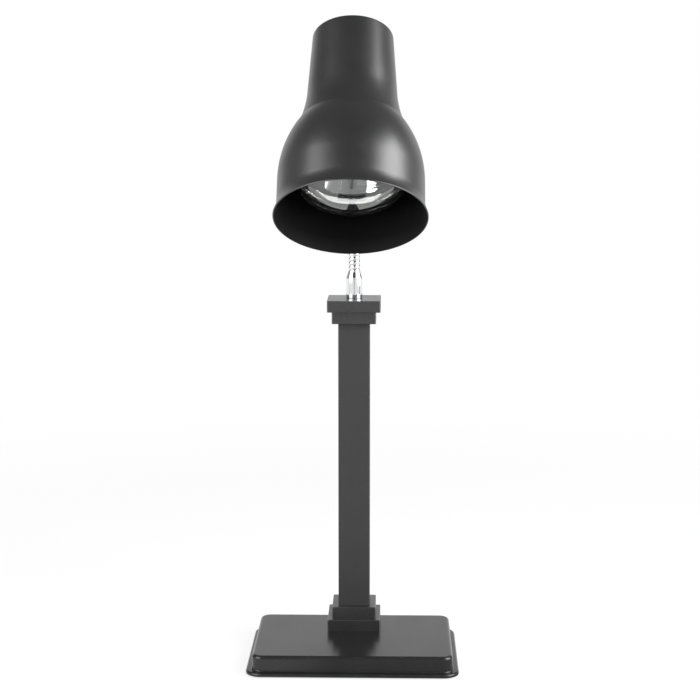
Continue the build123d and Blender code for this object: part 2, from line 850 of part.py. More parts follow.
def filament_place(turn):
    """The place on the filament's ring at an angle."""
    return Vector(filament_span * cos(radians(turn)), filament_span * sin(radians(turn)), filament_station)


stem_foot = (outer_glass[-1] @ 1).Y - stem_length
filament_station = stem_foot - filament_drop


def make_filament():
    """The coiled wire, bent into an open ring square to the axis."""
    ring = CenterArc((0, 0, filament_station), filament_span, filament_gap / 2, 360 - filament_gap)
    start = Plane(origin=ring @ 0, z_dir=ring % 0)
    return sweep(start * Circle(filament_radius), path=ring)


def make_filament_supports():
    """The wires from the stem's end to the filament."""
    step = (360 - filament_gap) / (support_count - 1)
    turns = [filament_gap / 2 + step * index for index in range(support_count)]
    wires = []
    for turn in turns:
        tip = filament_place(turn)
        root = Vector(tip.X, tip.Y, 0).normalized() * support_root_radius + Vector(0, 0, stem_foot)
        run = root - tip
        clear = filament_radius + support_gap
        frame = Plane(origin=tip + run.normalized() * clear, z_dir=run)
        wires.append(frame * extrude(Circle(support_radius), run.length - clear + support_radius))
    return [wire - disc(stem_radius, stem_foot, stem_length) for wire in wires]


# Lampholder

def make_lampholder():
    """The ceramic body: skirt, waist and the bore for the screw shell."""
    skirt = disc(holder_bore_radius + holder_skirt_wall, holder_mouth, holder_skirt_length)
    skirt = fillet(skirt.edges(), holder_edge_radius)
    waist = holder_skirt_length / 2
    body = disc(holder_bore_radius + holder_body_wall, holder_mouth + waist, holder_length - waist)
    body = fillet(body.edges().group_by(Axis.Z)[-1], holder_edge_radius)
    holder = skirt + body - disc(holder_bore_radius, holder_mouth - 1, holder_bore_depth + 1)
    screw_hole = disc(holder_screw_radius, holder_back - holder_screw_depth, holder_length)
    for cutter in at_holder_screws(screw_hole):
        holder -= cutter
    return holder


def at_holder_screws(shape):
    """A copy of the shape at each of the lampholder's two screws."""
    return [Pos(side * holder_screw_spacing / 2, 0, 0) * shape for side in (-1, 1)]


def make_screw_shell():
    """The metal shell that the bulb screws into, closed at its back round the contact."""
    height = holder_bore_depth - screw_shell_lip
    shell = disc(screw_shell_radius, bore_floor - height, height)
    inner = screw_shell_radius - screw_shell_thickness
    shell -= disc(inner, bore_floor - height - 1, height + 1 - screw_shell_thickness)
    return shell - disc(contact_radius + contact_margin, bore_floor - 2, 4)


def make_centre_contact():
    """The spring contact in the middle of the bore's floor."""
    return disc(contact_radius, bore_floor - contact_thickness, contact_thickness)


# The flat bracket stands off the round neck; its washer and nut are measured along the spigot, from
# the neck's outer face inwards
bracket_neck_radius = neck_radius(bracket_top) - shade_sheet
bracket_sag = bracket_neck_radius - sqrt(bracket_neck_radius**2 - (bracket_width / 2) ** 2)
washer_foot = shade_sheet + bracket_sag + bracket_wall_gap + bracket_sheet
nut_foot = washer_foot + lock_washer_thickness
spigot_length = saddle_thickness + nut_foot + lock_nut_thickness + spigot_tail


def make_holder_bracket():
    """The bent strip from the spigot's nut to the back of the lampholder."""
    slant = cos(radians(neck_taper))
    lower_end = attachment.Y - bracket_below_attachment
    outer_gap = (shade_sheet + bracket_sag + bracket_wall_gap) / slant
    inner_gap = outer_gap + bracket_sheet / slant
    arm_foot = bracket_top - bracket_sheet
    outline = Polygon(
        (neck_radius(lower_end) - outer_gap, lower_end),
        (neck_radius(bracket_top) - outer_gap, bracket_top),
        (-bracket_arm_reach, bracket_top),
        (-bracket_arm_reach, arm_foot),
        (neck_radius(arm_foot) - inner_gap, arm_foot),
        (neck_radius(lower_end) - inner_gap, lower_end),
        align=None,
    )
    strip = head * (Plane.YZ * extrude(outline, bracket_width / 2, both=True))
    strip -= wall_frame.location * disc(spigot_radius + hole_clearance, 0.0, 2 * washer_foot)
    for cutter in at_holder_screws(disc(holder_screw_radius + screw_clearance, arm_foot - 1, 4.0)):
        strip -= head * cutter
    return strip


def make_holder_screws():
    """The two screws through the bracket into the back of the lampholder."""
    screw = slotted_screw(
        holder_screw_head_radius, holder_screw_head_height, holder_screw_radius, holder_screw_length
    )
    placed = at_holder_screws(Pos(0, 0, bracket_top) * Rot(180, 0, 0) * screw)
    return [head * screw for screw in placed]


def make_lock_washer():
    """The washer between the bracket and the nut."""
    washer = disc(lock_washer_radius, washer_foot, lock_washer_thickness)
    washer -= disc(spigot_radius + hole_clearance, washer_foot - 1, lock_washer_thickness + 2)
    return wall_frame.location * washer


def make_lock_nut():
    """The nut on the spigot."""
    nut = hex_ring(lock_nut_across_flats, spigot_radius, nut_foot, lock_nut_thickness)
    return wall_frame.location * nut


# Base
keep("base_shell", make_base_shell())
keep("bottom_plate", make_bottom_plate())
keep("ballast", make_ballast())
keep("base_pillars", *at_feet(make_pillar()))
keep("rubber_feet", *at_feet(make_foot()))
foot_screw = slotted_screw(
    foot_screw_head_radius, foot_screw_head_height, foot_screw_radius, foot_screw_length
)
keep("foot_screws", *at_feet(Pos(0, 0, foot_recess_depth) * foot_screw))
ballast_screw = slotted_screw(
    foot_screw_head_radius, foot_screw_head_height, foot_screw_radius, ballast_screw_length
)
keep("ballast_screws", *at_ballast_screws(Pos(0, 0, plate_underside) * ballast_screw))
keep("terminal_block", make_terminal_block())
keep("terminal_screws", *make_terminal_screws())
keep("earth_stud", make_earth_stud())
keep("earth_nut", make_earth_nut())
keep("switch_body", make_switch_body())
keep("switch_rocker", make_rocker())
keep("cable_gland", make_gland())
keep("gland_nut", make_gland_nut())

# Post
keep("lower_collar", Pos(0, 0, lower_collar_foot) * make_collar(cored_from_post=False))
keep("upper_collar", Pos(0, 0, post_top) * Rot(180, 0, 0) * make_collar(cored_from_post=True))
keep("post_tube", make_post())
keep("tie_tube", make_tie_tube())
keep("tie_washer", make_tie_washer())
keep("tie_nut", make_tie_nut())

# Gooseneck
keep("lower_ferrule", make_lower_ferrule())
for link in range(hose_joints + 1):
    keep(f"gooseneck_link_{link:02d}", make_hose_link(link))
keep("upper_ferrule", make_upper_ferrule())
keep("neck_saddle", make_saddle())
keep("lock_washer", make_lock_washer())
keep("lock_nut", make_lock_nut())

# Shade and lampholder
keep("shade", make_shade())
keep("holder_bracket", make_holder_bracket())
keep("holder_screws", *make_holder_screws())
keep("lampholder", head * make_lampholder())
keep("screw_shell", head * make_screw_shell())
keep("centre_contact", head * make_centre_contact())

# Bulb
keep("bulb_glass", head * make_bulb_glass())
keep("bulb_silver", head * make_bulb_silver())
keep("bulb_cap", head * make_bulb_cap())
keep("bulb_insulator", head * make_bulb_insulator())
keep("bulb_tip", head * make_bulb_tip())
keep("glass_stem", head * make_glass_stem())
keep("filament", head * make_filament())
keep("filament_supports", *[head * wire for wire in make_filament_supports()])

# What the joints turn about
print("rim centre", rim_centre, "length", shade_length)
for joint in range(hose_joints):
    frame = hose_frame(joint_station(joint))
    print("joint", joint, frame.origin, frame.x_dir, frame.y_dir)
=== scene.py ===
"""Food heat lamp: finishes, the wound gooseneck, the reflector bulb, the studio and the camera.

Lengths in the shape classes are millimetres; meshes, lamps and the camera are in metres.
"""

import json
import logging
from dataclasses import dataclass
from enum import Enum

import bpy
import numpy as np
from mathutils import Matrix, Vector


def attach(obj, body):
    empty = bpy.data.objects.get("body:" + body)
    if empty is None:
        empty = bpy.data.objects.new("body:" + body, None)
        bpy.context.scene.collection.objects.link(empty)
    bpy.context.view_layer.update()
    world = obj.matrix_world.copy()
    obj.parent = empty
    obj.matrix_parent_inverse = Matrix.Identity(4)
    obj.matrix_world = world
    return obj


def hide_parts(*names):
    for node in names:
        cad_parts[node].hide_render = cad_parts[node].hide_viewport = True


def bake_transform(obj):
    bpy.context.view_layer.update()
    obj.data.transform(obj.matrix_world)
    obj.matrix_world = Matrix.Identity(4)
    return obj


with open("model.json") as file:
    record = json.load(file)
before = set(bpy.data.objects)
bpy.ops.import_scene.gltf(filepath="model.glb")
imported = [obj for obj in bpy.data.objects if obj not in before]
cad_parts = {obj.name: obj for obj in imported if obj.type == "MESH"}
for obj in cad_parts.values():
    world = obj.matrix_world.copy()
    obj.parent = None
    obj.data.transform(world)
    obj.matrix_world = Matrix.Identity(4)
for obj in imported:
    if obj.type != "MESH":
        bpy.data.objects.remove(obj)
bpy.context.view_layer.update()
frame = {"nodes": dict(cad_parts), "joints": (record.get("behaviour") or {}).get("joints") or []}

log = logging.getLogger("heat_lamp")

Colour = tuple[float, float, float]
Span = tuple[float, float]
Step = tuple[str, float] | tuple[str, float, float]

MM = 0.001
FULL_TURN = 2.0 * np.pi
WELD_M = 1e-7
SAME_MM = 1e-6


# Shader maths


class Value:
    """A number or colour inside a material, with Python's operators as shader maths."""

    def __init__(self, shader: "Shader", socket: bpy.types.NodeSocket) -> None:
        """Wrap one output socket of a shader."""
        self.shader = shader
        self.socket = socket

    def _math(self, operation: str, left: "Value | float", right: "Value | float") -> "Value":
        """Join two numbers with a Math node, by the name of its operation."""
        return self.shader.node("ShaderNodeMath", {"operation": operation}, {0: left, 1: right})

    def __add__(self, other: "Value | float") -> "Value":
        """This plus another."""
        return self._math("ADD", self, other)

    __radd__ = __add__

    def __mul__(self, other: "Value | float") -> "Value":
        """This times another."""
        return self._math("MULTIPLY", self, other)

    __rmul__ = __mul__

    def __sub__(self, other: "Value | float") -> "Value":
        """This less another."""
        return self._math("SUBTRACT", self, other)

    def __rsub__(self, other: "Value | float") -> "Value":
        """Another less this."""
        return self._math("SUBTRACT", other, self)

    def __truediv__(self, other: "Value | float") -> "Value":
        """This over another."""
        return self._math("DIVIDE", self, other)

    def __pow__(self, other: "Value | float") -> "Value":
        """This to a power."""
        return self._math("POWER", self, other)

    def __abs__(self) -> "Value":
        """This without its sign."""
        return self._math("ABSOLUTE", self, 0.0)

    def at_least(self, other: "Value | float") -> "Value":
        """The larger of the two."""
        return self._math("MAXIMUM", self, other)

    def toward(self, other: "Value | float", share: "Value | float") -> "Value":
        """A share of the way from this to another: (other - this) share + this."""
        return (other - self) * share + self

    def ramp(self, low: float, high: float, start: float = 0.0, end: float = 1.0) -> "Value":
        """Carry the range low to high over to start to end, held at both ends.

        Args:
            low: Where the ramp begins.
            high: Where the ramp ends.
            start: The result at low.
            end: The result at high.

        Returns:
            The carried number.
        """
        return self.shader.node(
            "ShaderNodeMapRange",
            {"interpolation_type": "SMOOTHSTEP"},
            {"Value": self, "From Min": low, "From Max": high, "To Min": start, "To Max": end},
        )


class Shader:
    """One node tree, built by plain calls."""

    MIX_LOW, MIX_HIGH, MIX_RESULT = 6, 7, 2

    def __init__(self, tree: bpy.types.NodeTree) -> None:
        """Start from an empty tree."""
        self.tree = tree
        tree.nodes.clear()

    def node(self, kind: str, settings: dict | None = None, inputs: dict | None = None,
             output: str | int = 0) -> Value | None:
        """Make any node.

        Args:
            kind: The node's type.
            settings: Its own settings, set before its sockets.
            inputs: A value or a link for each socket, by name or place.
            output: The output socket to return, by name or place.

        Returns:
            The chosen output, or nothing for a node that ends a tree.
        """
        made = self.tree.nodes.new(kind)
        for name, setting in (settings or {}).items():
            setattr(made, name, setting)
        for name, value in (inputs or {}).items():
            if isinstance(value, Value):
                self.tree.links.new(value.socket, made.inputs[name])
            else:
                made.inputs[name].default_value = value
        return Value(self, made.outputs[output]) if made.outputs else None

    def object_place(self) -> Value:
        """Points in the object's own coordinates, in metres."""
        return self.node("ShaderNodeTexCoord", output="Object")

    def parts(self, vector: Value, axes: str) -> list[Value]:
        """The parts of a vector along the named axes."""
        return [self.node("ShaderNodeSeparateXYZ", {}, {"Vector": vector}, axis) for axis in axes]

    def rays(self) -> tuple[Value, Value, Value]:
        """What sent a ray, each as 1 or 0.

        Returns:
            Whether it was the camera, a mirror or glass, and glass alone.
        """
        seen, mirror, glass = (self.node("ShaderNodeLightPath", output=f"Is {kind} Ray")
                               for kind in ("Camera", "Glossy", "Transmission"))
        return seen, mirror.at_least(glass), glass

    def noise(self, size_mm: float, detail: float = 2.0, roughness: float = 0.5,
              place: Value | None = None) -> Value:
        """Smooth noise around 0.5.

        Args:
            size_mm: The width of its largest blobs.
            detail: How many finer layers it has.
            roughness: How strong the finer layers are.
            place: The points to read, or the object's own.

        Returns:
            The noise.
        """
        inputs = {"Vector": place or self.object_place(), "Scale": 1.0 / (size_mm * MM),
                  "Detail": detail, "Roughness": roughness}
        return self.node("ShaderNodeTexNoise", {}, inputs)

    def cells(self, size_mm: float) -> Value:
        """The distance to the nearest of many scattered points, in cell widths."""
        inputs = {"Vector": self.object_place(), "Scale": 1.0 / (size_mm * MM)}
        return self.node("ShaderNodeTexVoronoi", {}, inputs, "Distance")

    def stretched(self, along: tuple[float, float, float]) -> Value:
        """The object's points, stretched by three factors so that a pattern runs in lines."""
        return self.node("ShaderNodeMapping", {}, {"Vector": self.object_place(), "Scale": along})

    def blend(self, factor: Value, low: Colour, high: Colour) -> Value:
        """A colour between two, by a factor from 0 to 1."""
        inputs = {"Factor": factor, self.MIX_LOW: (*low, 1.0), self.MIX_HIGH: (*high, 1.0)}
        return self.node("ShaderNodeMix", {"data_type": "RGBA"}, inputs, self.MIX_RESULT)

    def shades(self, factor: Value, colour: Colour, shares: Span) -> Value:
        """A colour between two shares of itself, by a factor from 0 to 1."""
        return self.blend(factor, *(tuple(part * share for part in colour) for share in shares))

    def bump(self, height: Value, depth_mm: float) -> Value:
        """A surface normal from a height between 0 and 1, and how deep 0 lies under 1."""
        inputs = {"Height": height, "Distance": depth_mm * MM, "Strength": 1.0}
        return self.node("ShaderNodeBump", {}, inputs)


def new_material(name: str) -> tuple[bpy.types.Material, Shader]:
    """Make an empty material.

    Args:
        name: The material's name.

    Returns:
        The material and its shader.
    """
    material = bpy.data.materials.new(name)
    material.use_nodes = True
    return material, Shader(material.node_tree)


def swing(middle: float, *patterns: tuple[Value, float]) -> Value:
    """A number moved up and down by patterns: middle + the sum of (pattern - 0.5) amount.

    Args:
        middle: The number where every pattern is 0.5.
        patterns: Each pattern and its amount.

    Returns:
        The moved number.
    """
    return sum(((pattern - 0.5) * amount for pattern, amount in patterns), middle)


# Finishes


@dataclass(frozen=True)
class Surface:
    """A finish as one Principled surface."""

    name: str

    def sockets(self, shader: Shader) -> dict[str, object]:
        """What the surface's sockets get.

        Args:
            shader: The material's shader.

        Returns:
            A value or a link for each socket, by name.
        """
        raise NotImplementedError

    def build(self) -> bpy.types.Material:
        """Make the material.

        Returns:
            The material.
        """
        material, shader = new_material(self.name)
        surface = shader.node("ShaderNodeBsdfPrincipled", {}, self.sockets(shader))
        shader.node("ShaderNodeOutputMaterial", {}, {"Surface": surface})
        return material


@dataclass(frozen=True)
class PowderCoat(Surface):
    """Baked powder paint: fine grains that flow together into a low, close texture."""

    colour: Colour
    roughness: float
    grain_mm: float
    grain_depth_mm: float
    mottle: float = 0.25
    mirror: float = 0.5
    shares: Span = (0.75, 1.35)
    cloud_mm: float = 28.0
    cloud_gloss: float = 0.10
    grain_gloss: float = 0.12
    pit_width: float = 2.2
    pit_share: float = 0.25

    def sockets(self, shader: Shader) -> dict[str, object]:
        """Grain and pits in the bump, faint clouds and grain in the colour and the gloss.

        Args:
            shader: The material's shader.

        Returns:
            A value or a link for each socket.
        """
        clouds = shader.noise(self.cloud_mm, detail=3.0)
        grain = shader.noise(self.grain_mm, detail=2.5, roughness=0.55)
        pits = shader.cells(self.grain_mm * self.pit_width)
        mottle = swing(0.5, (clouds, self.mottle), (grain, self.mottle))
        gloss = swing(self.roughness, (clouds, self.cloud_gloss), (grain, self.grain_gloss))
        return {
            "Base Color": shader.shades(mottle, self.colour, self.shares),
            "Roughness": gloss,
            "Specular IOR Level": self.mirror,
            "Normal": shader.bump(grain.toward(pits, self.pit_share), self.grain_depth_mm),
        }


@dataclass(frozen=True)
class Enamel(Surface):
    """Smooth baked enamel on pressed steel, with the slow waves that it dries with."""

    colour: Colour
    roughness: float
    shares: Span = (0.8, 1.25)
    wave_mm: float = 3.2
    wave_depth_mm: float = 0.012
    dust_mm: float = 0.35
    dust_share: float = 0.15
    dust_gloss: float = 0.04
    smear_mm: float = 34.0
    smear_stretch: tuple[float, float, float] = (1.0, 0.45, 1.0)
    smear_gloss: float = 0.16

    def sockets(self, shader: Shader) -> dict[str, object]:
        """Waves and dust in the bump, handling smears in the colour and the gloss.

        Args:
            shader: The material's shader.

        Returns:
            A value or a link for each socket.
        """
        waves = shader.noise(self.wave_mm, detail=1.5)
        dust = shader.noise(self.dust_mm, detail=1.0)
        smears = shader.noise(self.smear_mm, 4.0, 0.6, shader.stretched(self.smear_stretch))
        return {
            "Base Color": shader.shades(smears, self.colour, self.shares),
            "Roughness": swing(self.roughness, (smears, self.smear_gloss), (dust, self.dust_gloss)),
            "Normal": shader.bump(waves.toward(dust, self.dust_share), self.wave_depth_mm),
        }


@dataclass(frozen=True)
class Plating(Surface):
    """Bright metal: chrome, zinc, nickel, brass or tungsten, with fine handling scratches."""

    colour: Colour
    tarnish: Colour
    roughness: float
    scratch_depth_mm: float
    cloud_mm: float
    cloud_range: Span = (0.35, 0.75)
    cloud_gloss: float = 0.10
    scratch_mm: float = 0.5
    scratch_stretch: tuple[float, float, float] = (1.0, 1.0, 0.08)
    scratch_gloss: float = 0.08

    def sockets(self, shader: Shader) -> dict[str, object]:
        """Clouds of tarnish in the colour, scratches in the gloss and the bump.

        Args:
            shader: The material's shader.

        Returns:
            A value or a link for each socket.
        """
        clouds = shader.noise(self.cloud_mm, 4.0, 0.6)
        scratches = shader.noise(self.scratch_mm, 3.0, 0.7, shader.stretched(self.scratch_stretch))
        gloss = swing(self.roughness, (clouds, self.cloud_gloss), (scratches, self.scratch_gloss))
        return {
            "Base Color": shader.blend(clouds.ramp(*self.cloud_range), self.colour, self.tarnish),
            "Metallic": 1.0,
            "Roughness": gloss,
            "Normal": shader.bump(scratches, self.scratch_depth_mm),
        }


@dataclass(frozen=True)
class Moulded(Surface):
    """Moulded plastic or rubber with a spark-eroded grain."""

    colour: Colour
    roughness: float
    grain_mm: float
    grain_depth_mm: float
    grain_gloss: float = 0.15
    shares: Span = (0.8, 1.3)
    wipe_mm: float = 14.0
    wipe_gloss: float = 0.12

    def sockets(self, shader: Shader) -> dict[str, object]:
        """Grain in the bump and the gloss, wipe marks in the colour and the gloss.

        Args:
            shader: The material's shader.

        Returns:
            A value or a link for each socket.
        """
        grain = shader.noise(self.grain_mm, detail=3.0, roughness=0.6)
        wipes = shader.noise(self.wipe_mm, detail=3.0)
        return {
            "Base Color": shader.shades(wipes, self.colour, self.shares),
            "Roughness": swing(self.roughness, (grain, self.grain_gloss), (wipes, self.wipe_gloss)),
            "Normal": shader.bump(grain, self.grain_depth_mm),
        }


@dataclass(frozen=True)
class Casting(Surface):
    """Rough cast iron: sand grain and rust-brown clouds."""

    iron: Colour = (0.09, 0.09, 0.095)
    rust: Colour = (0.13, 0.105, 0.085)
    rust_range: Span = (0.4, 0.7)
    metal: float = 0.6
    roughness: float = 0.68
    sand_mm: float = 0.9
    sand_gloss: float = 0.2
    sand_depth_mm: float = 0.18
    cloud_mm: float = 22.0

    def sockets(self, shader: Shader) -> dict[str, object]:
        """Coarse sand grain in the bump, slow clouds of rust in the colour.

        Args:
            shader: The material's shader.

        Returns:
            A value or a link for each socket.
        """
        sand = shader.noise(self.sand_mm, detail=4.0, roughness=0.65)
        clouds = shader.noise(self.cloud_mm, detail=3.0)
        return {
            "Base Color": shader.blend(clouds.ramp(*self.rust_range), self.iron, self.rust),
            "Metallic": self.metal,
            "Roughness": swing(self.roughness, (sand, self.sand_gloss)),
            "Normal": shader.bump(sand, self.sand_depth_mm),
        }


@dataclass(frozen=True)
class Ceramic(Surface):
    """Glazed electrical porcelain with a few specks."""

    glaze: Colour = (0.80, 0.79, 0.75)
    speck: Colour = (0.45, 0.43, 0.40)
    speck_mm: float = 3.1
    speck_range: Span = (0.05, 0.11)
    roughness: float = 0.24
    wave_mm: float = 6.0
    wave_gloss: float = 0.1
    wave_depth_mm: float = 0.03

    def sockets(self, shader: Shader) -> dict[str, object]:
        """Small grey specks in the white glaze, faint waves in the gloss and the bump.

        Args:
            shader: The material's shader.

        Returns:
            A value or a link for each socket.
        """
        specks = shader.cells(self.speck_mm).ramp(*self.speck_range)
        waves = shader.noise(self.wave_mm)
        return {
            "Base Color": shader.blend(specks, self.speck, self.glaze),
            "Roughness": swing(self.roughness, (waves, self.wave_gloss)),
            "Normal": shader.bump(waves, self.wave_depth_mm),
        }


@dataclass(frozen=True)
class ClearGlass(Surface):
    """Blown clear glass, very slightly uneven."""

    tint: Colour = (0.98, 0.99, 0.99)
    unevenness_mm: float = 0.02
    wave_mm: float = 15.0
    refraction: float = 1.48

    def sockets(self, shader: Shader) -> dict[str, object]:
        """Clear, with slow waves left by the blowing in the bump.

        Args:
            shader: The material's shader.

        Returns:
            A value or a link for each socket.
        """
        return {
            "Base Color": (*self.tint, 1.0),
            "Roughness": 0.0,
            "IOR": self.refraction,
            "Transmission Weight": 1.0,
            "Normal": shader.bump(shader.noise(self.wave_mm), self.unevenness_mm),
        }


@dataclass(frozen=True)
class Silvering(Surface):
    """The mirror inside the bulb, with the ripples of the glass under it."""

    colour: Colour = (0.93, 0.93, 0.92)
    roughness: float = 0.08
    ripple_mm: float = 11.0
    ripple_depth_mm: float = 0.35
    fine_mm: float = 2.6
    fine_share: float = 0.15
    fine_gloss: float = 0.06

    def sockets(self, shader: Shader) -> dict[str, object]:
        """Bright metal over two sizes of ripple.

        Args:
            shader: The material's shader.

        Returns:
            A value or a link for each socket.
        """
        ripples = shader.noise(self.ripple_mm)
        fine = shader.noise(self.fine_mm, detail=1.0)
        return {
            "Base Color": (*self.colour, 1.0),
            "Metallic": 1.0,
            "Roughness": swing(self.roughness, (fine, self.fine_gloss)),
            "Normal": shader.bump(ripples.toward(fine, self.fine_share), self.ripple_depth_mm),
        }


class Finish(Enum):
    """Every finish on the lamp."""

    SHADE_OUTSIDE = PowderCoat("shade_outside", (0.006, 0.006, 0.0065), 0.34, 0.9, 0.050, 0.5, 1.0)
    # The inside has the outside's black powder paint in a darker colour: painted shade for the
    # hollow of the shade.
    SHADE_INSIDE_PAINTED_SHADE = PowderCoat("shade_inside_painted_shade", (0.0015, 0.0015, 0.0016), 0.70, 0.9, 0.040, 0.15, 0.2)
    POST = PowderCoat("post_powder", (0.018, 0.018, 0.019), 0.55, 0.8, 0.080, 0.5)
    COLLAR = PowderCoat("collar_powder", (0.013, 0.013, 0.0135), 0.30, 0.9, 0.020, 0.4, 1.0)
    BASE = Enamel("base_enamel", (0.009, 0.009, 0.0095), 0.24)
    BOTTOM = PowderCoat("bottom_powder", (0.02, 0.02, 0.02), 0.5, 0.8, 0.05)
    CHROME = Plating("neck_chrome", (0.86, 0.86, 0.87), (0.78, 0.79, 0.81), 0.07, 0.0006, 12.0)
    HOSE = Plating("hose_chrome", (0.84, 0.84, 0.85), (0.72, 0.73, 0.75), 0.10, 0.0006, 10.0)
    ZINC = Plating("zinc_plate", (0.60, 0.61, 0.62), (0.52, 0.51, 0.47), 0.32, 0.004, 4.0)
    NICKEL = Plating("cap_nickel", (0.66, 0.63, 0.56), (0.48, 0.44, 0.37), 0.28, 0.003, 5.0)
    BRASS = Plating("contact_brass", (0.78, 0.60, 0.30), (0.52, 0.37, 0.17), 0.26, 0.003, 4.0)
    TUNGSTEN = Plating("filament_tungsten", (0.34, 0.33, 0.33), (0.20, 0.20, 0.21), 0.42, 0.002,
                       2.0)
    PLASTIC = Moulded("switch_plastic", (0.016, 0.016, 0.017), 0.42, 0.25, 0.020)
    ROCKER = Moulded("rocker_plastic", (0.014, 0.014, 0.015), 0.22, 0.5, 0.006)
    RUBBER = Moulded("foot_rubber", (0.020, 0.020, 0.020), 0.78, 0.3, 0.050)
    CAP_GLASS = Moulded("cap_black_glass", (0.010, 0.009, 0.012), 0.14, 1.2, 0.010)
    CASTING = Casting("ballast_casting")
    CERAMIC = Ceramic("holder_ceramic")
    GLASS = ClearGlass("bulb_clear_glass")
    STEM = ClearGlass("stem_glass", (0.93, 0.96, 0.96), 0.05)
    SILVER = Silvering("bulb_silvering")


NODE_FINISHES = {
    Finish.BASE: ["base_shell"],
    Finish.BOTTOM: ["bottom_plate"],
    Finish.COLLAR: ["lower_collar", "upper_collar", "neck_saddle"],
    Finish.POST: ["post_tube"],
    Finish.ZINC: ["foot_screws", "ballast_screws", "base_pillars", "tie_tube", "tie_washer",
                  "tie_nut", "earth_stud", "lock_washer", "lock_nut", "holder_bracket",
                  "holder_screws"],
    Finish.BRASS: ["terminal_screws", "earth_nut", "centre_contact", "bulb_tip"],
    Finish.CASTING: ["ballast"],
    Finish.RUBBER: ["rubber_feet"],
    Finish.CERAMIC: ["lampholder", "terminal_block"],
    Finish.PLASTIC: ["switch_body", "cable_gland", "gland_nut"],
    Finish.ROCKER: ["switch_rocker"],
    Finish.CAP_GLASS: ["bulb_insulator"],
    Finish.STEM: ["glass_stem"],
    Finish.TUNGSTEN: ["filament_supports"],
}


class Dresser:
    """Makes each finish once and puts it on pieces."""

    def __init__(self) -> None:
        """Start with nothing made."""
        self.made: dict[Finish, bpy.types.Material] = {}

    def material(self, finish: Finish) -> bpy.types.Material:
        """The material of a finish, made at its first use.

        Args:
            finish: The finish.

        Returns:
            Its material.
        """
        if finish not in self.made:
            self.made[finish] = finish.value.build()
        return self.made[finish]

    def dress(self, piece: bpy.types.Object, *finishes: Finish) -> None:
        """Give a piece its finishes, one for each of its material places."""
        for finish in finishes:
            piece.data.materials.append(self.material(finish))

    def repaint_node(self, node: str, finish: Finish) -> None:
        """Put a finish on every material place of a CAD node.

        Args:
            node: The node's name.
            finish: The finish.
        """
        piece = frame["nodes"][node]
        for place in piece.material_slots:
            place.material = self.material(finish)
        if not piece.material_slots:
            self.dress(piece, finish)


# Surfaces


def new_object(name: str, data: bpy.types.ID) -> bpy.types.Object:
    """Put an object in the scene, unturned at the world's origin.

    Args:
        name: The object's name.
        data: Its mesh, lamp or camera.

    Returns:
        The object.
    """
    made = bpy.data.objects.new(name, data)
    bpy.context.scene.collection.objects.link(made)
    return made


def ring_faces(rings: int, around: int, closed: bool) -> np.ndarray:
    """The quads between rings of points.

    Quad (i, j) joins point j of ring i with its next neighbours, round the ring and on the next
    ring.

    Args:
        rings: How many rings there are.
        around: Points in a ring.
        closed: Whether the last ring is joined to the first.

    Returns:
        An array of four point numbers a quad.
    """
    ring = np.arange(rings if closed else rings - 1)[:, None]
    place = np.arange(around)[None, :]
    next_ring, next_place = (ring + 1) % rings, (place + 1) % around
    corners = [ring * around + place, next_ring * around + place,
               next_ring * around + next_place, ring * around + next_place]
    return np.stack(corners, -1).reshape(-1, 4)


def welded(points: np.ndarray, faces: np.ndarray) -> tuple[np.ndarray, np.ndarray]:
    """Join points that lie together, such as the ring of points at a pole.

    Args:
        points: The points in metres.
        faces: Four point numbers a face.

    Returns:
        The points that are left, and the faces with their numbers.
    """
    keys = np.round(points / WELD_M).astype(np.int64)
    _, first, number = np.unique(keys, axis=0, return_index=True, return_inverse=True)
    return points[first], number.reshape(-1)[faces]


def build_piece(name: str, grid: np.ndarray, closed: bool = True, groups: np.ndarray | None = None,
                sharp_degrees: float = 32.0) -> bpy.types.Object:
    """Make an object from rings of points, with smooth shading and outward faces.

    A quad with two corners on one point becomes a triangle, and one with fewer than three corners
    left is dropped. Faces point outwards: the signed volume, the sum of each corner fan's triple
    product over six, is made positive.

    Args:
        name: The piece's name.
        grid: Its points in metres, one row a ring.
        closed: Whether the last ring is joined to the first.
        groups: The material place of the faces after each ring, or none.
        sharp_degrees: The angle from which an edge is sharp.

    Returns:
        The object, at the world's origin.
    """
    rings, around = grid.shape[:2]
    points, faces = welded(grid.reshape(-1, 3), ring_faces(rings, around, closed))
    sizes = (faces != np.roll(faces, 1, axis=1)).sum(axis=1)
    real = sizes >= 3
    faces, sizes = faces[real], sizes[real]
    fan = points[faces]
    areas = np.cross(fan[:, 1], fan[:, 2]) + np.cross(fan[:, 2], fan[:, 3])
    volume = np.einsum("ij,ij->", fan[:, 0], areas) / 6
    if volume < 0:
        faces = faces[:, ::-1]
    corners = faces[faces != np.roll(faces, 1, axis=1)]
    mesh = bpy.data.meshes.new(name)
    mesh.vertices.add(len(points))
    mesh.vertices.foreach_set("co", points.astype(np.float32).ravel())
    mesh.loops.add(len(corners))
    mesh.loops.foreach_set("vertex_index", corners.astype(np.int32))
    mesh.polygons.add(len(faces))
    starts = np.concatenate([[0], np.cumsum(sizes)[:-1]]).astype(np.int32)
    mesh.polygons.foreach_set("loop_start", starts)
    if groups is not None:
        places = np.repeat(groups, around)[real].astype(np.int32)
        mesh.polygons.foreach_set("material_index", places)
    mesh.update(calc_edges=True)
    mesh.validate()
    mesh.shade_smooth()
    mesh.set_sharp_from_angle(angle=np.radians(sharp_degrees))
    return new_object(name, mesh)


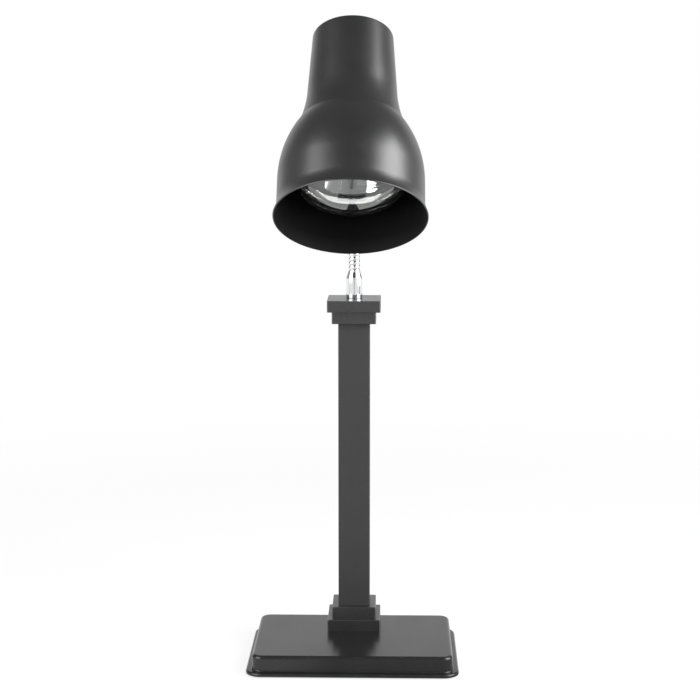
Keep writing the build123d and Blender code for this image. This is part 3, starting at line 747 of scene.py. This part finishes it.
def tangent_chain(start: Span, heading: float, steps: list[Step], inset: float = 0.0,
                  arc_degrees: float = 1.0) -> np.ndarray:
    """An outline of straight and round stretches, each tangent to the one before.

    A round stretch of radius R about a centre is centre + R (cos a, sin a) for the angles a of its
    turn; a positive turn bends to the left. Every stretch is moved to its left by the inset. Points
    that two stretches share are kept once.

    Args:
        start: Where the chain starts.
        heading: Its first direction in degrees, counted from the first axis.
        steps: ("line", length) or ("arc", radius, turn in degrees).
        inset: How far the chain is moved to its left.
        arc_degrees: The turn between two points.

    Returns:
        The outline's points.
    """
    angle = np.radians(heading)
    here = np.array(start, float) + inset * np.array([-np.sin(angle), np.cos(angle)])
    stretches = []
    for step in steps:
        if step[0] == "line":
            way = np.array([np.cos(angle), np.sin(angle)])
            stretches.append(here + np.linspace(0, step[1], 2)[:, None] * way)
        else:
            turn = np.radians(step[2])
            side = np.sign(turn)
            radius = step[1] - side * inset
            count = max(3, int(np.ceil(abs(step[2]) / arc_degrees)) + 1)
            centre = here + side * radius * np.array([-np.sin(angle), np.cos(angle)])
            angles = angle - side * np.pi / 2 + np.linspace(0, turn, count)
            stretches.append(centre + radius * np.stack([np.cos(angles), np.sin(angles)], -1))
            angle += turn
        here = stretches[-1][-1]
    outline = np.concatenate(stretches)
    apart = np.linalg.norm(np.diff(outline, axis=0), axis=1) > SAME_MM
    return outline[np.concatenate([[True], apart])]


@dataclass(frozen=True)
class Axes:
    """A place with three directions, in metres: right, back and along."""

    origin: np.ndarray
    right: np.ndarray
    back: np.ndarray
    along: np.ndarray

    def place(self, right: np.ndarray, back: np.ndarray, along: np.ndarray) -> np.ndarray:
        """Carry lengths in millimetres on the three directions to points in metres."""
        parts = right[..., None] * self.right + back[..., None] * self.back
        return self.origin + (parts + along[..., None] * self.along) * MM


def spun(axes: Axes, radius: np.ndarray, height: np.ndarray) -> np.ndarray:
    """A grid of points (r cos t, r sin t, h) about an axis, each with a radius of its own.

    Args:
        axes: The axis and its foot.
        radius: One row of radii a height, in millimetres, for evenly spaced turns t.
        height: The heights.

    Returns:
        Points in metres, one row a height.
    """
    turn = np.linspace(0, FULL_TURN, radius.shape[1], endpoint=False)
    return axes.place(radius * np.cos(turn), radius * np.sin(turn), height[:, None] + 0 * turn)


def revolve_piece(name: str, axes: Axes, outline: np.ndarray, around: int,
                  groups: np.ndarray | None = None) -> bpy.types.Object:
    """Turn a closed outline about an axis into a piece.

    Args:
        name: The piece's name.
        axes: The axis and its foot.
        outline: Radius and height of each point, in millimetres.
        around: Points round the axis.
        groups: The material place of each stretch of the outline, or none.

    Returns:
        The object.
    """
    radius = np.repeat(outline[:, :1], around, axis=1)
    return build_piece(name, spun(axes, radius, outline[:, 1]), groups=groups)


def ring_of(radius: float, around: int) -> np.ndarray:
    """One row of equal radii."""
    return np.full((1, around), radius)


def thread(height: np.ndarray, around: int, pitch: float, depth: float,
           run_out: float) -> np.ndarray:
    """How far a rolled thread stands out, on a grid of heights and turns.

    The form is depth (1 + cos 2 pi (h / pitch - turn)) / 2, faded out over the run-out at both
    ends.

    Args:
        height: The heights of the rows.
        around: Points round the axis.
        pitch: The thread's pitch.
        depth: The thread's depth.
        run_out: The length of each end's fade.

    Returns:
        One row a height.
    """
    turn = np.linspace(0, 1, around, endpoint=False)[None, :]
    wave = (1 + np.cos(FULL_TURN * (height[:, None] / pitch - turn))) / 2
    from_ends = np.minimum(height - height.min(), height.max() - height)
    return depth * wave * (from_ends / run_out).clip(0, 1)[:, None]


def node_points(node: str) -> np.ndarray:
    """A CAD node's vertices.

    Args:
        node: The node's name.

    Returns:
        The points in metres.
    """
    mesh = frame["nodes"][node].data
    flat = np.zeros(len(mesh.vertices) * 3, np.float32)
    mesh.vertices.foreach_get("co", flat)
    return flat.reshape(-1, 3).astype(float)


def joints(start: str) -> list[dict]:
    """The records of the joints with names that start so."""
    return [entry for entry in frame["joints"] if entry["name"].startswith(start)]


# Head


@dataclass(frozen=True)
class Shade:
    """The spun shade: a tangent chain from the rolled rim to the closed top."""

    rim_radius: float = 84.98
    sheet: float = 1.5
    lip_radius: float = 42.0
    lip_angle: float = 24.0
    wall_length: float = 27.3
    dome_radius: float = 127.0
    dome_angle: float = 33.5
    crease_radius: float = 16.0
    crease_angle: float = 18.5
    throat_radius: float = 152.0
    neck_taper: float = 3.4
    neck_length: float = 74.28
    top_edge_radius: float = 3.0
    arc_degrees: float = 1.3
    rim_points: int = 11
    around: int = 240

    def axes(self) -> Axes:
        """The shade's axes: along from the rim to the closed top, from the middle of the rim.

        The rim's round edge of half a sheet lies half a sheet inwards, square to the lip, so it
        ends below the middle of the rim by half a sheet times one plus the sine of the lip's angle.

        Returns:
            The axes.
        """
        along = -np.array(joints("bulb_out")[0]["axis"], float)
        along /= np.linalg.norm(along)
        right = np.array([1.0, 0.0, 0.0])
        back = np.cross(along, right)
        points = node_points("shade")
        below = self.sheet / 2 * (1 + np.sin(np.radians(self.lip_angle))) * MM
        middle = ((points @ back).min() + (points @ back).max()) / 2
        origin = ((points @ along).min() + below) * along + middle * back
        return Axes(origin, right, back, along)

    def skin(self, inset: float) -> np.ndarray:
        """The outline from the rim to the axis.

        Args:
            inset: How far the outline is moved inwards.

        Returns:
            The outline's points as radius and height.
        """
        steps = [
            ("arc", self.lip_radius, -self.lip_angle),
            ("line", self.wall_length),
            ("arc", self.dome_radius, self.dome_angle),
            ("arc", self.crease_radius, self.crease_angle - self.dome_angle),
            ("arc", self.throat_radius, self.neck_taper - self.crease_angle),
            ("line", self.neck_length),
            ("arc", self.top_edge_radius, 90.0 - self.neck_taper),
        ]
        heading = 90.0 + self.lip_angle
        outline = tangent_chain((self.rim_radius, 0), heading, steps, inset, self.arc_degrees)
        return np.vstack([outline, [0.0, outline[-1, 1]]])

    def build(self, axes: Axes, dresser: Dresser) -> bpy.types.Object:
        """Make the shade: outside, closed top, inside and the half-round rim between them.

        Args:
            axes: The shade's axes.
            dresser: What puts the finishes on.

        Returns:
            The piece.
        """
        outside, inside = self.skin(0.0), self.skin(self.sheet)[::-1]
        middle = (outside[0] + inside[-1]) / 2
        start = np.arctan2(*(inside[-1] - middle)[::-1])
        turn = start + np.linspace(0, np.pi, self.rim_points)[1:-1]
        rim = middle + self.sheet / 2 * np.stack([np.cos(turn), np.sin(turn)], -1)
        outline = np.vstack([outside, inside, rim])
        groups = np.zeros(len(outline))
        groups[len(outside):len(outside) + len(inside)] = 1
        piece = revolve_piece("shade_shell", axes, outline, self.around, groups)
        dresser.dress(piece, Finish.SHADE_OUTSIDE, Finish.SHADE_INSIDE_PAINTED_SHADE)
        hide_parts("shade")
        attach(piece, "head")
        return piece


# Bulb


@dataclass(frozen=True)
class Bulb:
    """The reflector bulb: clear crown, silvered bowl, threaded cap and coiled filament."""

    radius: float = 62.5
    inset: float = 15.6
    crown_height: float = 35.0
    shoulder_radius: float = 26.0
    shoulder_turn: float = 30.0
    back_radius: float = 160.0
    back_turn: float = 12.0
    throat_radius: float = 36.0
    neck_taper: float = 3.0
    neck_length: float = 40.0
    heel_radius: float = 8.0
    heel_turn: float = 62.0
    collar_radius: float = 2.0
    cap_overlap: float = 4.0
    glass: float = 1.0
    glass_degrees: float = 1.8
    silver: float = 0.3
    silver_gap: float = 0.02
    silver_degrees: float = 1.2
    cap_radius: float = 13.2
    cap_sheet: float = 0.5
    cap_gap: float = 0.1
    cap_length: float = 22.0
    cap_edge: float = 1.0
    cap_step: float = 0.7
    cap_shoulder: float = 0.4
    cap_rows: int = 140
    cap_around: int = 96
    thread_pitch: float = 3.63
    thread_depth: float = 0.9
    thread_fade: float = 1.6
    stem_length: float = 62.0
    filament_drop: float = 14.0
    filament_ring: float = 15.0
    filament_gap: float = 60.0
    coil_wire: float = 0.13
    coil_radius: float = 0.70
    coil_pitch: float = 0.66
    coil_steps: int = 14
    wire_around: int = 6
    socket_radius: float = 13.8
    socket_sheet: float = 0.25
    socket_depth: float = 0.35
    socket_hole: float = 6.0
    socket_rows: int = 150
    around: int = 200

    def back_steps(self) -> list[Step]:
        """The back of the glass.

        Its cone is as long as brings the glass's end into the cap: what the end is too wide without
        a cone, over the sine of the cone's slope.

        Returns:
            The steps of the chain.
        """
        slope = self.shoulder_turn + self.back_turn

        def back(cone: float) -> list[Step]:
            """The steps with a cone of a given length."""
            return [("arc", self.shoulder_radius, self.shoulder_turn),
                    ("arc", self.back_radius, self.back_turn), ("line", cone),
                    ("arc", self.throat_radius, self.neck_taper - slope),
                    ("line", self.neck_length)]

        end = tangent_chain((self.radius, 0), 90.0, back(0.0) + self.heel_steps())[-1, 0]
        wanted = self.cap_radius - self.cap_sheet - self.cap_gap
        return back((end - wanted) / np.sin(np.radians(slope)))

    def heel_steps(self) -> list[Step]:
        """The end of the glass, drawn in to the cap."""
        return [("arc", self.heel_radius, self.heel_turn),
                ("arc", self.collar_radius, -self.heel_turn - self.neck_taper),
                ("line", self.cap_overlap)]

    def glass_skin(self, inset: float) -> np.ndarray:
        """The glass from its front to its end inside the cap, moved inwards by the inset.

        The crown's arc has the radius and the turn that carry it tangent into the shoulder's.

        Args:
            inset: How far the outline is moved inwards.

        Returns:
            The outline's points.
        """
        run, rise = self.radius - self.shoulder_radius, self.crown_height - self.shoulder_radius
        turn = 2 * np.degrees(np.arctan2(rise, run))
        crown = run / np.sin(np.radians(turn)) + self.shoulder_radius
        front = [("arc", crown, turn), ("arc", self.shoulder_radius, 90.0 - turn)]
        chain = front + self.back_steps() + self.heel_steps()
        outline = tangent_chain((0, self.inset), 0.0, chain, inset, self.glass_degrees)
        outline[0, 0] = 0.0
        return outline

    def silver_skin(self, inset: float) -> np.ndarray:
        """The bowl from its widest place to its neck, moved inwards by the inset."""
        start = (self.radius, self.inset + self.crown_height)
        return tangent_chain(start, 90.0, self.back_steps(), inset, self.silver_degrees)

    def build_glass(self, axes: Axes) -> bpy.types.Object:
        """Make the clear envelope."""
        outline = np.vstack([self.glass_skin(0.0), self.glass_skin(self.glass)[::-1]])
        return revolve_piece("bulb_envelope", axes, outline, self.around)

    def build_silver(self, axes: Axes) -> bpy.types.Object:
        """Make the silvered bowl inside the glass.

        Args:
            axes: The bulb's axes.

        Returns:
            The piece.
        """
        outer = self.silver_skin(self.glass + self.silver_gap)
        inner = self.silver_skin(self.glass + self.silver)
        return revolve_piece("bulb_mirror", axes, np.vstack([outer, inner[::-1]]), self.around)

    def build_cap(self, axes: Axes) -> bpy.types.Object:
        """Make the rolled screw cap: a plain foot round the glass, the thread and a closed top.

        Args:
            axes: The bulb's axes.

        Returns:
            The piece.
        """
        foot = self.glass_skin(0.0)[-1, 1] - self.cap_overlap
        top = foot + self.cap_length
        root = self.cap_radius - self.thread_depth
        height = np.linspace(foot + self.cap_overlap, top - self.cap_edge, self.cap_rows)
        turns = root + thread(height, self.cap_around, self.thread_pitch, self.thread_depth,
                              self.thread_fade)
        plain = ring_of(self.cap_radius, self.cap_around)
        closing = [ring_of(radius, self.cap_around) for radius in (root - self.cap_shoulder, 0.0)]
        outer = np.concatenate([plain, plain, turns, *closing])
        low = [foot, foot + self.cap_overlap - self.cap_step]
        levels = np.concatenate([low, height, [top, top]])
        inner = np.maximum(outer - self.cap_sheet, 0.0)[::-1]
        inner_levels = np.minimum(levels, top - self.cap_sheet)[::-1]
        grid = spun(axes, np.concatenate([outer, inner]), np.concatenate([levels, inner_levels]))
        return build_piece("bulb_screw_cap", grid, sharp_degrees=40.0)

    def build_filament(self, axes: Axes) -> bpy.types.Object:
        """Make the filament: fine wire coiled along an open ring between the supports.

        The coil's middle runs round the ring; the wire winds about it at the coil's radius, so a
        point of the wire's line is ring + radius (cos w outwards + sin w along), with the winding
        angle w. The wire's own circle lies across its line.

        Args:
            axes: The bulb's axes.

        Returns:
            The piece.
        """
        station = self.glass_skin(0.0)[-1, 1] - self.stem_length - self.filament_drop
        gap = np.radians(self.filament_gap) / 2
        windings = self.filament_ring * (FULL_TURN - 2 * gap) / self.coil_pitch
        share = np.linspace(0, 1, int(windings * self.coil_steps))
        turn = gap + share * (FULL_TURN - 2 * gap)
        wind = share * windings * FULL_TURN
        reach = self.filament_ring + self.coil_radius * np.cos(wind)
        level = station + self.coil_radius * np.sin(wind)
        line = np.stack([reach * np.cos(turn), reach * np.sin(turn), level], -1)
        heading = np.gradient(line, axis=0)
        heading /= np.linalg.norm(heading, axis=1, keepdims=True)
        out = np.stack([np.cos(wind) * np.cos(turn), np.cos(wind) * np.sin(turn), np.sin(wind)], -1)
        side = np.cross(heading, out)
        circle = np.linspace(0, FULL_TURN, self.wire_around, endpoint=False)[None, :, None]
        across = np.cos(circle) * out[:, None] + np.sin(circle) * side[:, None]
        ring = line[:, None] + self.coil_wire * across
        middles = line[[0, -1], None] + np.zeros((2, self.wire_around, 3))
        grid = np.concatenate([middles[:1], ring, middles[1:]])
        points = axes.place(grid[..., 0], grid[..., 1], grid[..., 2])
        return build_piece("bulb_filament", points, closed=False, sharp_degrees=80.0)

    def build_socket(self, axes: Axes) -> bpy.types.Object:
        """Make the lampholder's threaded shell, with the hole for its contact.

        Args:
            axes: The bulb's axes.

        Returns:
            The piece.
        """
        levels = (node_points("screw_shell") - axes.origin) @ axes.along / MM
        mouth, floor = levels.min(), levels.max()
        sheet = self.socket_sheet
        height = np.linspace(mouth, floor - sheet, self.socket_rows)
        inner = self.socket_radius + thread(height, self.cap_around, self.thread_pitch,
                                            self.socket_depth, self.thread_fade)
        hole = ring_of(self.socket_hole, self.cap_around)
        radii = np.concatenate([inner, hole, hole, (inner + sheet)[::-1]])
        heights = np.concatenate([height, [floor - sheet, floor, floor], height[-2::-1]])
        return build_piece("holder_screw_shell", spun(axes, radii, heights), sharp_degrees=40.0)

    def build(self, axes: Axes, dresser: Dresser) -> list[bpy.types.Object]:
        """Make the bulb's pieces and the shell that it screws into.

        Args:
            axes: The bulb's axes, which are the shade's.
            dresser: What puts the finishes on.

        Returns:
            The pieces.
        """
        pieces = []
        for piece, finish, node, slot, body in (
            (self.build_glass(axes), Finish.GLASS, "bulb_glass", "clear_glass", "bulb"),
            (self.build_silver(axes), Finish.SILVER, "bulb_silver", "silvering", "bulb"),
            (self.build_cap(axes), Finish.NICKEL, "bulb_cap", "cap_metal", "bulb"),
            (self.build_filament(axes), Finish.TUNGSTEN, "filament", "tungsten", "bulb"),
            (self.build_socket(axes), Finish.BRASS, "screw_shell", "brass", "head"),
        ):
            dresser.dress(piece, finish)
            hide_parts(node)
            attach(piece, body)
            pieces.append(piece)
        return pieces


# Gooseneck


@dataclass(frozen=True)
class Gooseneck:
    """The wound metal hose: one helical rib on a line that runs up, round a bend and on.

    It is built in pieces, one over each joint of the CAD links.
    """

    crest_radius: float = 7.1
    valley_radius: float = 6.5
    bore_radius: float = 3.0
    pitch: float = 5.2
    wire_share: float = 0.88
    bend_radius: float = 50.0
    bend_foot: float = 175.555
    bend_degrees: float = 60.9
    first_joint: float = 51.9
    joint_spacing: float = 20.8
    start: float = 22.5
    hose_end: float = 228.7
    end: float = 238.7
    sleeve: float = 9.0
    around: int = 72
    rows_per_pitch: int = 20
    rows_per_bore_row: int = 4

    def foot(self) -> float:
        """The height of the line's foot over the ground, from the lowest joint."""
        return min(entry["pos_m"][2] for entry in joints("neck_")) / MM - self.first_joint

    def line(self, along: np.ndarray) -> tuple[np.ndarray, np.ndarray]:
        """The centre line and its angle from upright.

        Below the bend a point is (0, 0, s); in it the line turns forwards on a circle of the bend's
        radius, and beyond it runs straight on.

        Args:
            along: Distances along the line from its foot, in millimetres.

        Returns:
            Points in metres, and the angle at each.
        """
        bend = np.radians(self.bend_degrees)
        angle = np.clip((along - self.bend_foot) / self.bend_radius, 0, bend)
        beyond = np.maximum(along - self.bend_foot - self.bend_radius * bend, 0)
        below = np.minimum(along, self.bend_foot)
        up = below + self.bend_radius * np.sin(angle) + beyond * np.cos(angle)
        forward = self.bend_radius * (1 - np.cos(angle)) + beyond * np.sin(angle)
        return np.stack([0 * up, -forward, self.foot() + up], -1) * MM, angle

    def tube(self, along: np.ndarray, radius: np.ndarray) -> np.ndarray:
        """Rings of points about the centre line.

        The point at turn t is centre + radius (cos t, sin t) on the line's right and its other
        side, which leans back by the line's angle a: (0, cos a, sin a).

        Args:
            along: The distance of each ring along the line.
            radius: The radius of each point, one row a ring.

        Returns:
            Points in metres, one row a ring.
        """
        centre, angle = self.line(along)
        turn = np.linspace(0, FULL_TURN, self.around, endpoint=False)[None, :, None]
        side = np.stack([0 * angle, np.cos(angle), np.sin(angle)], -1)
        across = np.cos(turn) * np.array([1.0, 0.0, 0.0]) + np.sin(turn) * side[:, None]
        return centre[:, None] + radius[..., None] * MM * across

    def crest(self, along: np.ndarray) -> np.ndarray:
        """The outer radius on a grid of stations and turns.

        The wire's round back stands over the valley as sqrt(1 - u^2), where u is the distance from
        the middle of the wire, which climbs by one pitch in a turn, in half wire widths.

        Args:
            along: The distance of each ring along the line.

        Returns:
            The radii, one row a ring.
        """
        turn = np.linspace(0, 1, self.around, endpoint=False)[None, :]
        middle = (along[:, None] - self.first_joint) / self.pitch - turn
        across = (np.mod(middle, 1.0) - 0.5) * 2 / self.wire_share
        swell = np.sqrt(np.clip(1 - across ** 2, 0, 1))
        return self.valley_radius + (self.crest_radius - self.valley_radius) * swell

    def build(self, dresser: Dresser) -> list[bpy.types.Object]:
        """Make the pieces, one over each joint of the CAD links.

        Args:
            dresser: What puts the finish on.

        Returns:
            The pieces.
        """
        count = len(joints("neck_"))
        pieces = []
        for number in range(count):
            station = self.first_joint + self.joint_spacing * number
            low = self.start if number == 0 else station - self.joint_spacing / 2
            high = self.end if number == count - 1 else station + self.joint_spacing / 2
            rows = int(round((high - low) / self.pitch * self.rows_per_pitch)) + 1
            outer = np.linspace(low, high, rows)
            inner = np.linspace(high, low, rows // self.rows_per_bore_row)
            bore = np.full((len(inner), self.around), self.bore_radius)
            grid = np.concatenate([self.tube(outer, self.crest(outer)), self.tube(inner, bore)])
            piece = build_piece(f"gooseneck_turns_{number}", grid, sharp_degrees=50.0)
            dresser.dress(piece, Finish.HOSE)
            ends, _ = self.line(np.array([station - self.sleeve, station + self.sleeve]))
            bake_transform(piece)
            links = [f"gooseneck_link_{number:02d}"]
            if number == count - 1:
                links.append(f"gooseneck_link_{number + 1:02d}")
            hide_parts(*links)
            pieces.append(piece)
        return pieces


@dataclass(frozen=True)
class Ferrule:
    """A turned sleeve at an end of the hose: a plain body, a drawn-in shoulder and the seat."""

    node: str
    body: str
    body_length: float
    spigot_radius: float = 0.0
    radius: float = 9.9
    taper_length: float = 9.0
    mouth_radius: float = 7.6
    mouth_lean: float = 0.15
    seat_radius: float = 7.15
    seat_depth: float = 12.0
    bore_radius: float = 3.0
    edge: float = 0.6
    edge_points: int = 7
    shoulder_points: int = 22
    around: int = 112

    def axes(self) -> tuple[Axes, float]:
        """The sleeve's place.

        Returns:
            Its axes, along from its foot to its mouth, and how far its spigot goes beyond the foot.
        """
        points = node_points(self.node)
        right = np.array([1.0, 0.0, 0.0])
        if not self.spigot_radius:
            foot = np.array([0.0, 0.0, points[:, 2].min()])
            return Axes(foot, right, np.array([0.0, 1.0, 0.0]), np.array([0.0, 0.0, 1.0])), 0.0
        neck = Gooseneck()
        bend = np.radians(neck.bend_degrees)
        along = np.array([0.0, np.sin(bend), -np.cos(bend)])
        end, _ = neck.line(np.array([neck.hose_end]))
        origin = end[0] - along * (self.body_length + self.taper_length) * MM
        beyond = ((origin - points) @ along).max() / MM
        return Axes(origin, right, np.cross(along, right), along), beyond

    def outline(self, spigot: float) -> np.ndarray:
        """The sleeve's outline as radius and height.

        The shoulder is a cubic curve from the body to the mouth, upright at the body and leaning in
        a little at the mouth: (2t^3 - 3t^2 + 1) start + (t^3 - 2t^2 + t) start's way
        + (3t^2 - 2t^3) stop + (t^3 - t^2) stop's way.

        Args:
            spigot: How far the spigot goes beyond the foot.

        Returns:
            The outline's points, in millimetres.
        """
        length = self.body_length + self.taper_length
        share = np.linspace(0, 1, self.shoulder_points)[:, None]
        square, cube = share ** 2, share ** 3
        reach = np.hypot(self.taper_length, self.radius - self.mouth_radius)
        start = np.array([self.radius, self.body_length])
        stop = np.array([self.mouth_radius, length])
        start_way, stop_way = np.array([0.0, reach]), np.array([-self.mouth_lean, 1.0]) * reach
        shoulder = ((2 * cube - 3 * square + 1) * start + (cube - 2 * square + share) * start_way
                    + (3 * square - 2 * cube) * stop + (cube - square) * stop_way)
        turn = np.linspace(-np.pi / 2, 0, self.edge_points)[:, None]
        corner = np.array([self.radius - self.edge, self.edge])
        foot = corner + self.edge * np.concatenate([np.cos(turn), np.sin(turn)], 1)
        floor = length - self.seat_depth
        seat = np.array([[self.seat_radius, length], [self.seat_radius, floor]])
        if not self.spigot_radius:
            return np.vstack([[0.0, 0.0], foot, shoulder, seat, [0.0, floor]])
        tail = np.array([[self.bore_radius, -spigot], [self.spigot_radius, -spigot],
                         [self.spigot_radius, 0.0]])
        return np.vstack([tail, foot, shoulder, seat, [self.bore_radius, floor]])

    def build(self, dresser: Dresser) -> bpy.types.Object:
        """Make the sleeve.

        Args:
            dresser: What puts the finish on.

        Returns:
            The piece.
        """
        axes, spigot = self.axes()
        piece = revolve_piece(f"{self.node}_sleeve", axes, self.outline(spigot), self.around)
        dresser.dress(piece, Finish.CHROME)
        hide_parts(self.node)
        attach(piece, self.body)
        return piece


# Studio


@dataclass(frozen=True)
class Softbox:
    """A large soft lamp, aimed at the head."""

    name: str
    place: tuple[float, float, float]
    power: float
    aim: tuple[float, float, float] = (0.0, -0.15, 0.62)
    size: Span = (1.15, 1.40)

    def build(self) -> None:
        """Make the lamp, its face turned to its aim."""
        lamp = bpy.data.lights.new(self.name, "AREA")
        lamp.shape = "RECTANGLE"
        lamp.size, lamp.size_y = self.size
        lamp.energy = self.power
        holder = new_object(self.name, lamp)
        holder.location = self.place
        aim = Vector(self.aim) - Vector(self.place)
        holder.rotation_euler = aim.to_track_quat("-Z", "Y").to_euler()


@dataclass(frozen=True)
class Studio:
    """A white room with a pale floor, soft lamps at both sides and an open side in front.

    Brightness is counted from 0 to a white of 1. A span is where a change begins and ends: in the
    world as a part of the direction's unit vector, and on the floor in metres or, for a slant, in
    metres sideways over metres ahead.
    """

    ambient: float = 0.50
    front: float = 0.90
    front_gap: float = 0.12
    front_glass: float = 0.17
    side: float = 0.35
    overhead: float = 0.25
    gap_width: Span = (0.05, 0.14)
    gap_turn: Span = (-0.45, -0.80)
    side_turn: Span = (0.0, -0.35)
    glass_width: Span = (0.5, 0.7)
    back_turn: Span = (0.60, 0.85)
    overhead_turn: Span = (0.25, 0.60)
    floor_half: float = 30.0
    floor_white: float = 0.86
    floor_near: float = 0.25
    floor_far: float = 0.90
    floor_gap: float = 0.85
    floor_reach: Span = (0.10, 1.20)
    floor_edge: Span = (0.06, 0.10)
    floor_close: Span = (0.35, 0.60)
    floor_left: Span = (-0.10, -0.01)
    gap_slant: Span = (0.035, 0.09)
    side_slant: Span = (0.9, 1.3)
    shortest_ahead: float = 0.05
    glass_reach: Span = (1.75, 1.95)
    shadow_reach: Span = (0.35, 1.60)
    shadow_share: float = 0.20
    softboxes: tuple[Softbox, ...] = (
        Softbox("key_right", (1.12, -0.48, 0.95), 37.0),
        Softbox("fill_left", (-0.98, -0.84, 0.98), 20.0),
    )

    def build_world(self) -> None:
        """Make the world: white to the camera, and with darker sides in mirrors and glass.

        In a mirror the back is white and the front a little less, the sides and what is overhead
        are dimmer, and an upright gap in front, where the studio is open for the camera, is
        darkest. Glass finds the front dim between its two sides. All other rays find the ambient
        light.
        """
        world = bpy.data.worlds.new("studio")
        bpy.context.scene.world = world
        world.use_nodes = True
        shader = Shader(world.node_tree)
        seen, mirrored, glass = shader.rays()
        direction = shader.node("ShaderNodeTexCoord", output="Generated")
        right, back, up = shader.parts(direction, "XYZ")
        sideways = abs(right)
        gap = sideways.ramp(*self.gap_width, 1.0, 0.0) * back.ramp(*self.gap_turn)
        front = back.ramp(*self.side_turn, self.side, self.front).toward(self.front_gap, gap)
        through = sideways.ramp(*self.glass_width, self.front_glass, self.front)
        low = front.toward(through, glass).toward(1.0, back.ramp(*self.back_turn))
        reflected = low.toward(self.overhead, up.ramp(*self.overhead_turn))
        strength = reflected.toward(self.ambient, 1.0 - mirrored).toward(1.0, seen)
        light = shader.node("ShaderNodeBackground", {}, {"Color": strength, "Strength": 1.0})
        shader.node("ShaderNodeOutputWorld", {}, {"Surface": light})

    def build_floor(self) -> None:
        """Make the floor: white to the camera, with the lamp's soft shadow close to it.

        Close to the lamp the floor is plain paint, which takes the shadow, and farther off it goes
        over into an even white. In a mirror the floor in front grows lighter with the distance,
        with the same gap in its middle as the world's front; to the left it is white close by.
        Glass finds it white up to the foot of the dim front, and white at its two sides.
        """
        half = self.floor_half
        mesh = bpy.data.meshes.new("floor")
        corners = [(-half, -half, 0), (half, -half, 0), (half, half, 0), (-half, half, 0)]
        mesh.from_pydata(corners, [], [(0, 1, 2, 3)])
        floor = new_object("floor", mesh)
        material, shader = new_material("floor_white")
        right, back = shader.parts(shader.object_place(), "XY")
        reach = (right * right + back * back) ** 0.5
        seen, mirrored, glass = shader.rays()
        even = reach.ramp(*self.shadow_reach, 1.0 - self.shadow_share, 1.0)
        ahead = 0.0 - back
        slant = abs(right) / ahead.at_least(self.shortest_ahead)
        close = ahead.ramp(*self.floor_close, 1.0, 0.0)
        kept = 1.0 - slant.ramp(*self.gap_slant, self.floor_gap, 0.0) * (1.0 - close)
        front = ahead.ramp(*self.floor_reach, self.floor_near, self.floor_far) * kept
        front = front.toward(1.0, right.ramp(*self.floor_left, 1.0, 0.0) * close)
        through = ahead.ramp(*self.glass_reach, 1.0, self.front_glass) * kept
        through = through.toward(1.0, slant.ramp(*self.side_slant))
        dimmed = ahead.ramp(*self.floor_edge) * mirrored
        colour = front.toward(through, glass).toward(1.0, 1.0 - dimmed)
        glow = shader.node("ShaderNodeEmission", {}, {"Color": colour, "Strength": 1.0})
        white = (self.floor_white, self.floor_white, self.floor_white, 1.0)
        paint = shader.node("ShaderNodeBsdfDiffuse", {}, {"Color": white})
        share = seen.at_least(mirrored) * even
        mixed = shader.node("ShaderNodeMixShader", {}, {"Fac": share, 1: paint, 2: glow})
        shader.node("ShaderNodeOutputMaterial", {}, {"Surface": mixed})
        mesh.materials.append(material)

    def build(self) -> None:
        """Make the world, the floor and the lamps."""
        self.build_world()
        self.build_floor()
        for softbox in self.softboxes:
            softbox.build()
        bpy.context.scene.view_settings.view_transform = "Standard"


@dataclass(frozen=True)
class Viewpoint:
    """The photograph's camera, from a fit of the lamp's edges in the 700 by 700 frame."""

    focal_pixels: float = 1627.9
    middle_x: float = 356.3
    middle_y: float = 315.0
    image: float = 700.0
    pitch: float = 7.307
    yaw: float = 1.2
    sideways: float = 0.00241
    distance: float = 1.9527
    height: float = 0.6598
    sensor: float = 36.0
    clip: Span = (0.05, 60.0)

    def build(self) -> None:
        """Make the camera."""
        camera = bpy.data.cameras.new("camera")
        camera.sensor_width = self.sensor
        camera.lens = self.focal_pixels / self.image * self.sensor
        camera.shift_x = (self.image / 2 - self.middle_x) / self.image
        camera.shift_y = (self.middle_y - self.image / 2) / self.image
        camera.clip_start, camera.clip_end = self.clip
        yaw = np.radians(self.yaw)
        holder = new_object("camera", camera)
        holder.location = (
            self.sideways * np.cos(yaw) + self.distance * np.sin(yaw),
            self.sideways * np.sin(yaw) - self.distance * np.cos(yaw),
            self.height,
        )
        holder.rotation_euler = (np.radians(90.0 - self.pitch), 0.0, yaw)
        bpy.context.scene.camera = holder


FERRULES = (
    Ferrule("lower_ferrule", "stand", body_length=23.5),
    Ferrule("upper_ferrule", "head", body_length=13.0, spigot_radius=5.0),
)


def main() -> None:
    """Build the camera, the studio and the lamp, and report each piece and each repainted node."""
    logging.basicConfig(level=logging.INFO, format="%(name)s: %(message)s")
    dresser, shade = Dresser(), Shade()
    axes = shade.axes()
    Viewpoint().build()
    Studio().build()
    pieces = [shade.build(axes, dresser), *Bulb().build(axes, dresser), *Gooseneck().build(dresser)]
    pieces += [ferrule.build(dresser) for ferrule in FERRULES]
    for piece in pieces:
        log.info("piece %s: %d faces", piece.name, len(piece.data.polygons))
    for finish, nodes in NODE_FINISHES.items():
        for node in nodes:
            dresser.repaint_node(node, finish)
            log.info("node %s: %s", node, finish.value.name)


if __name__ == "__main__":
    main()
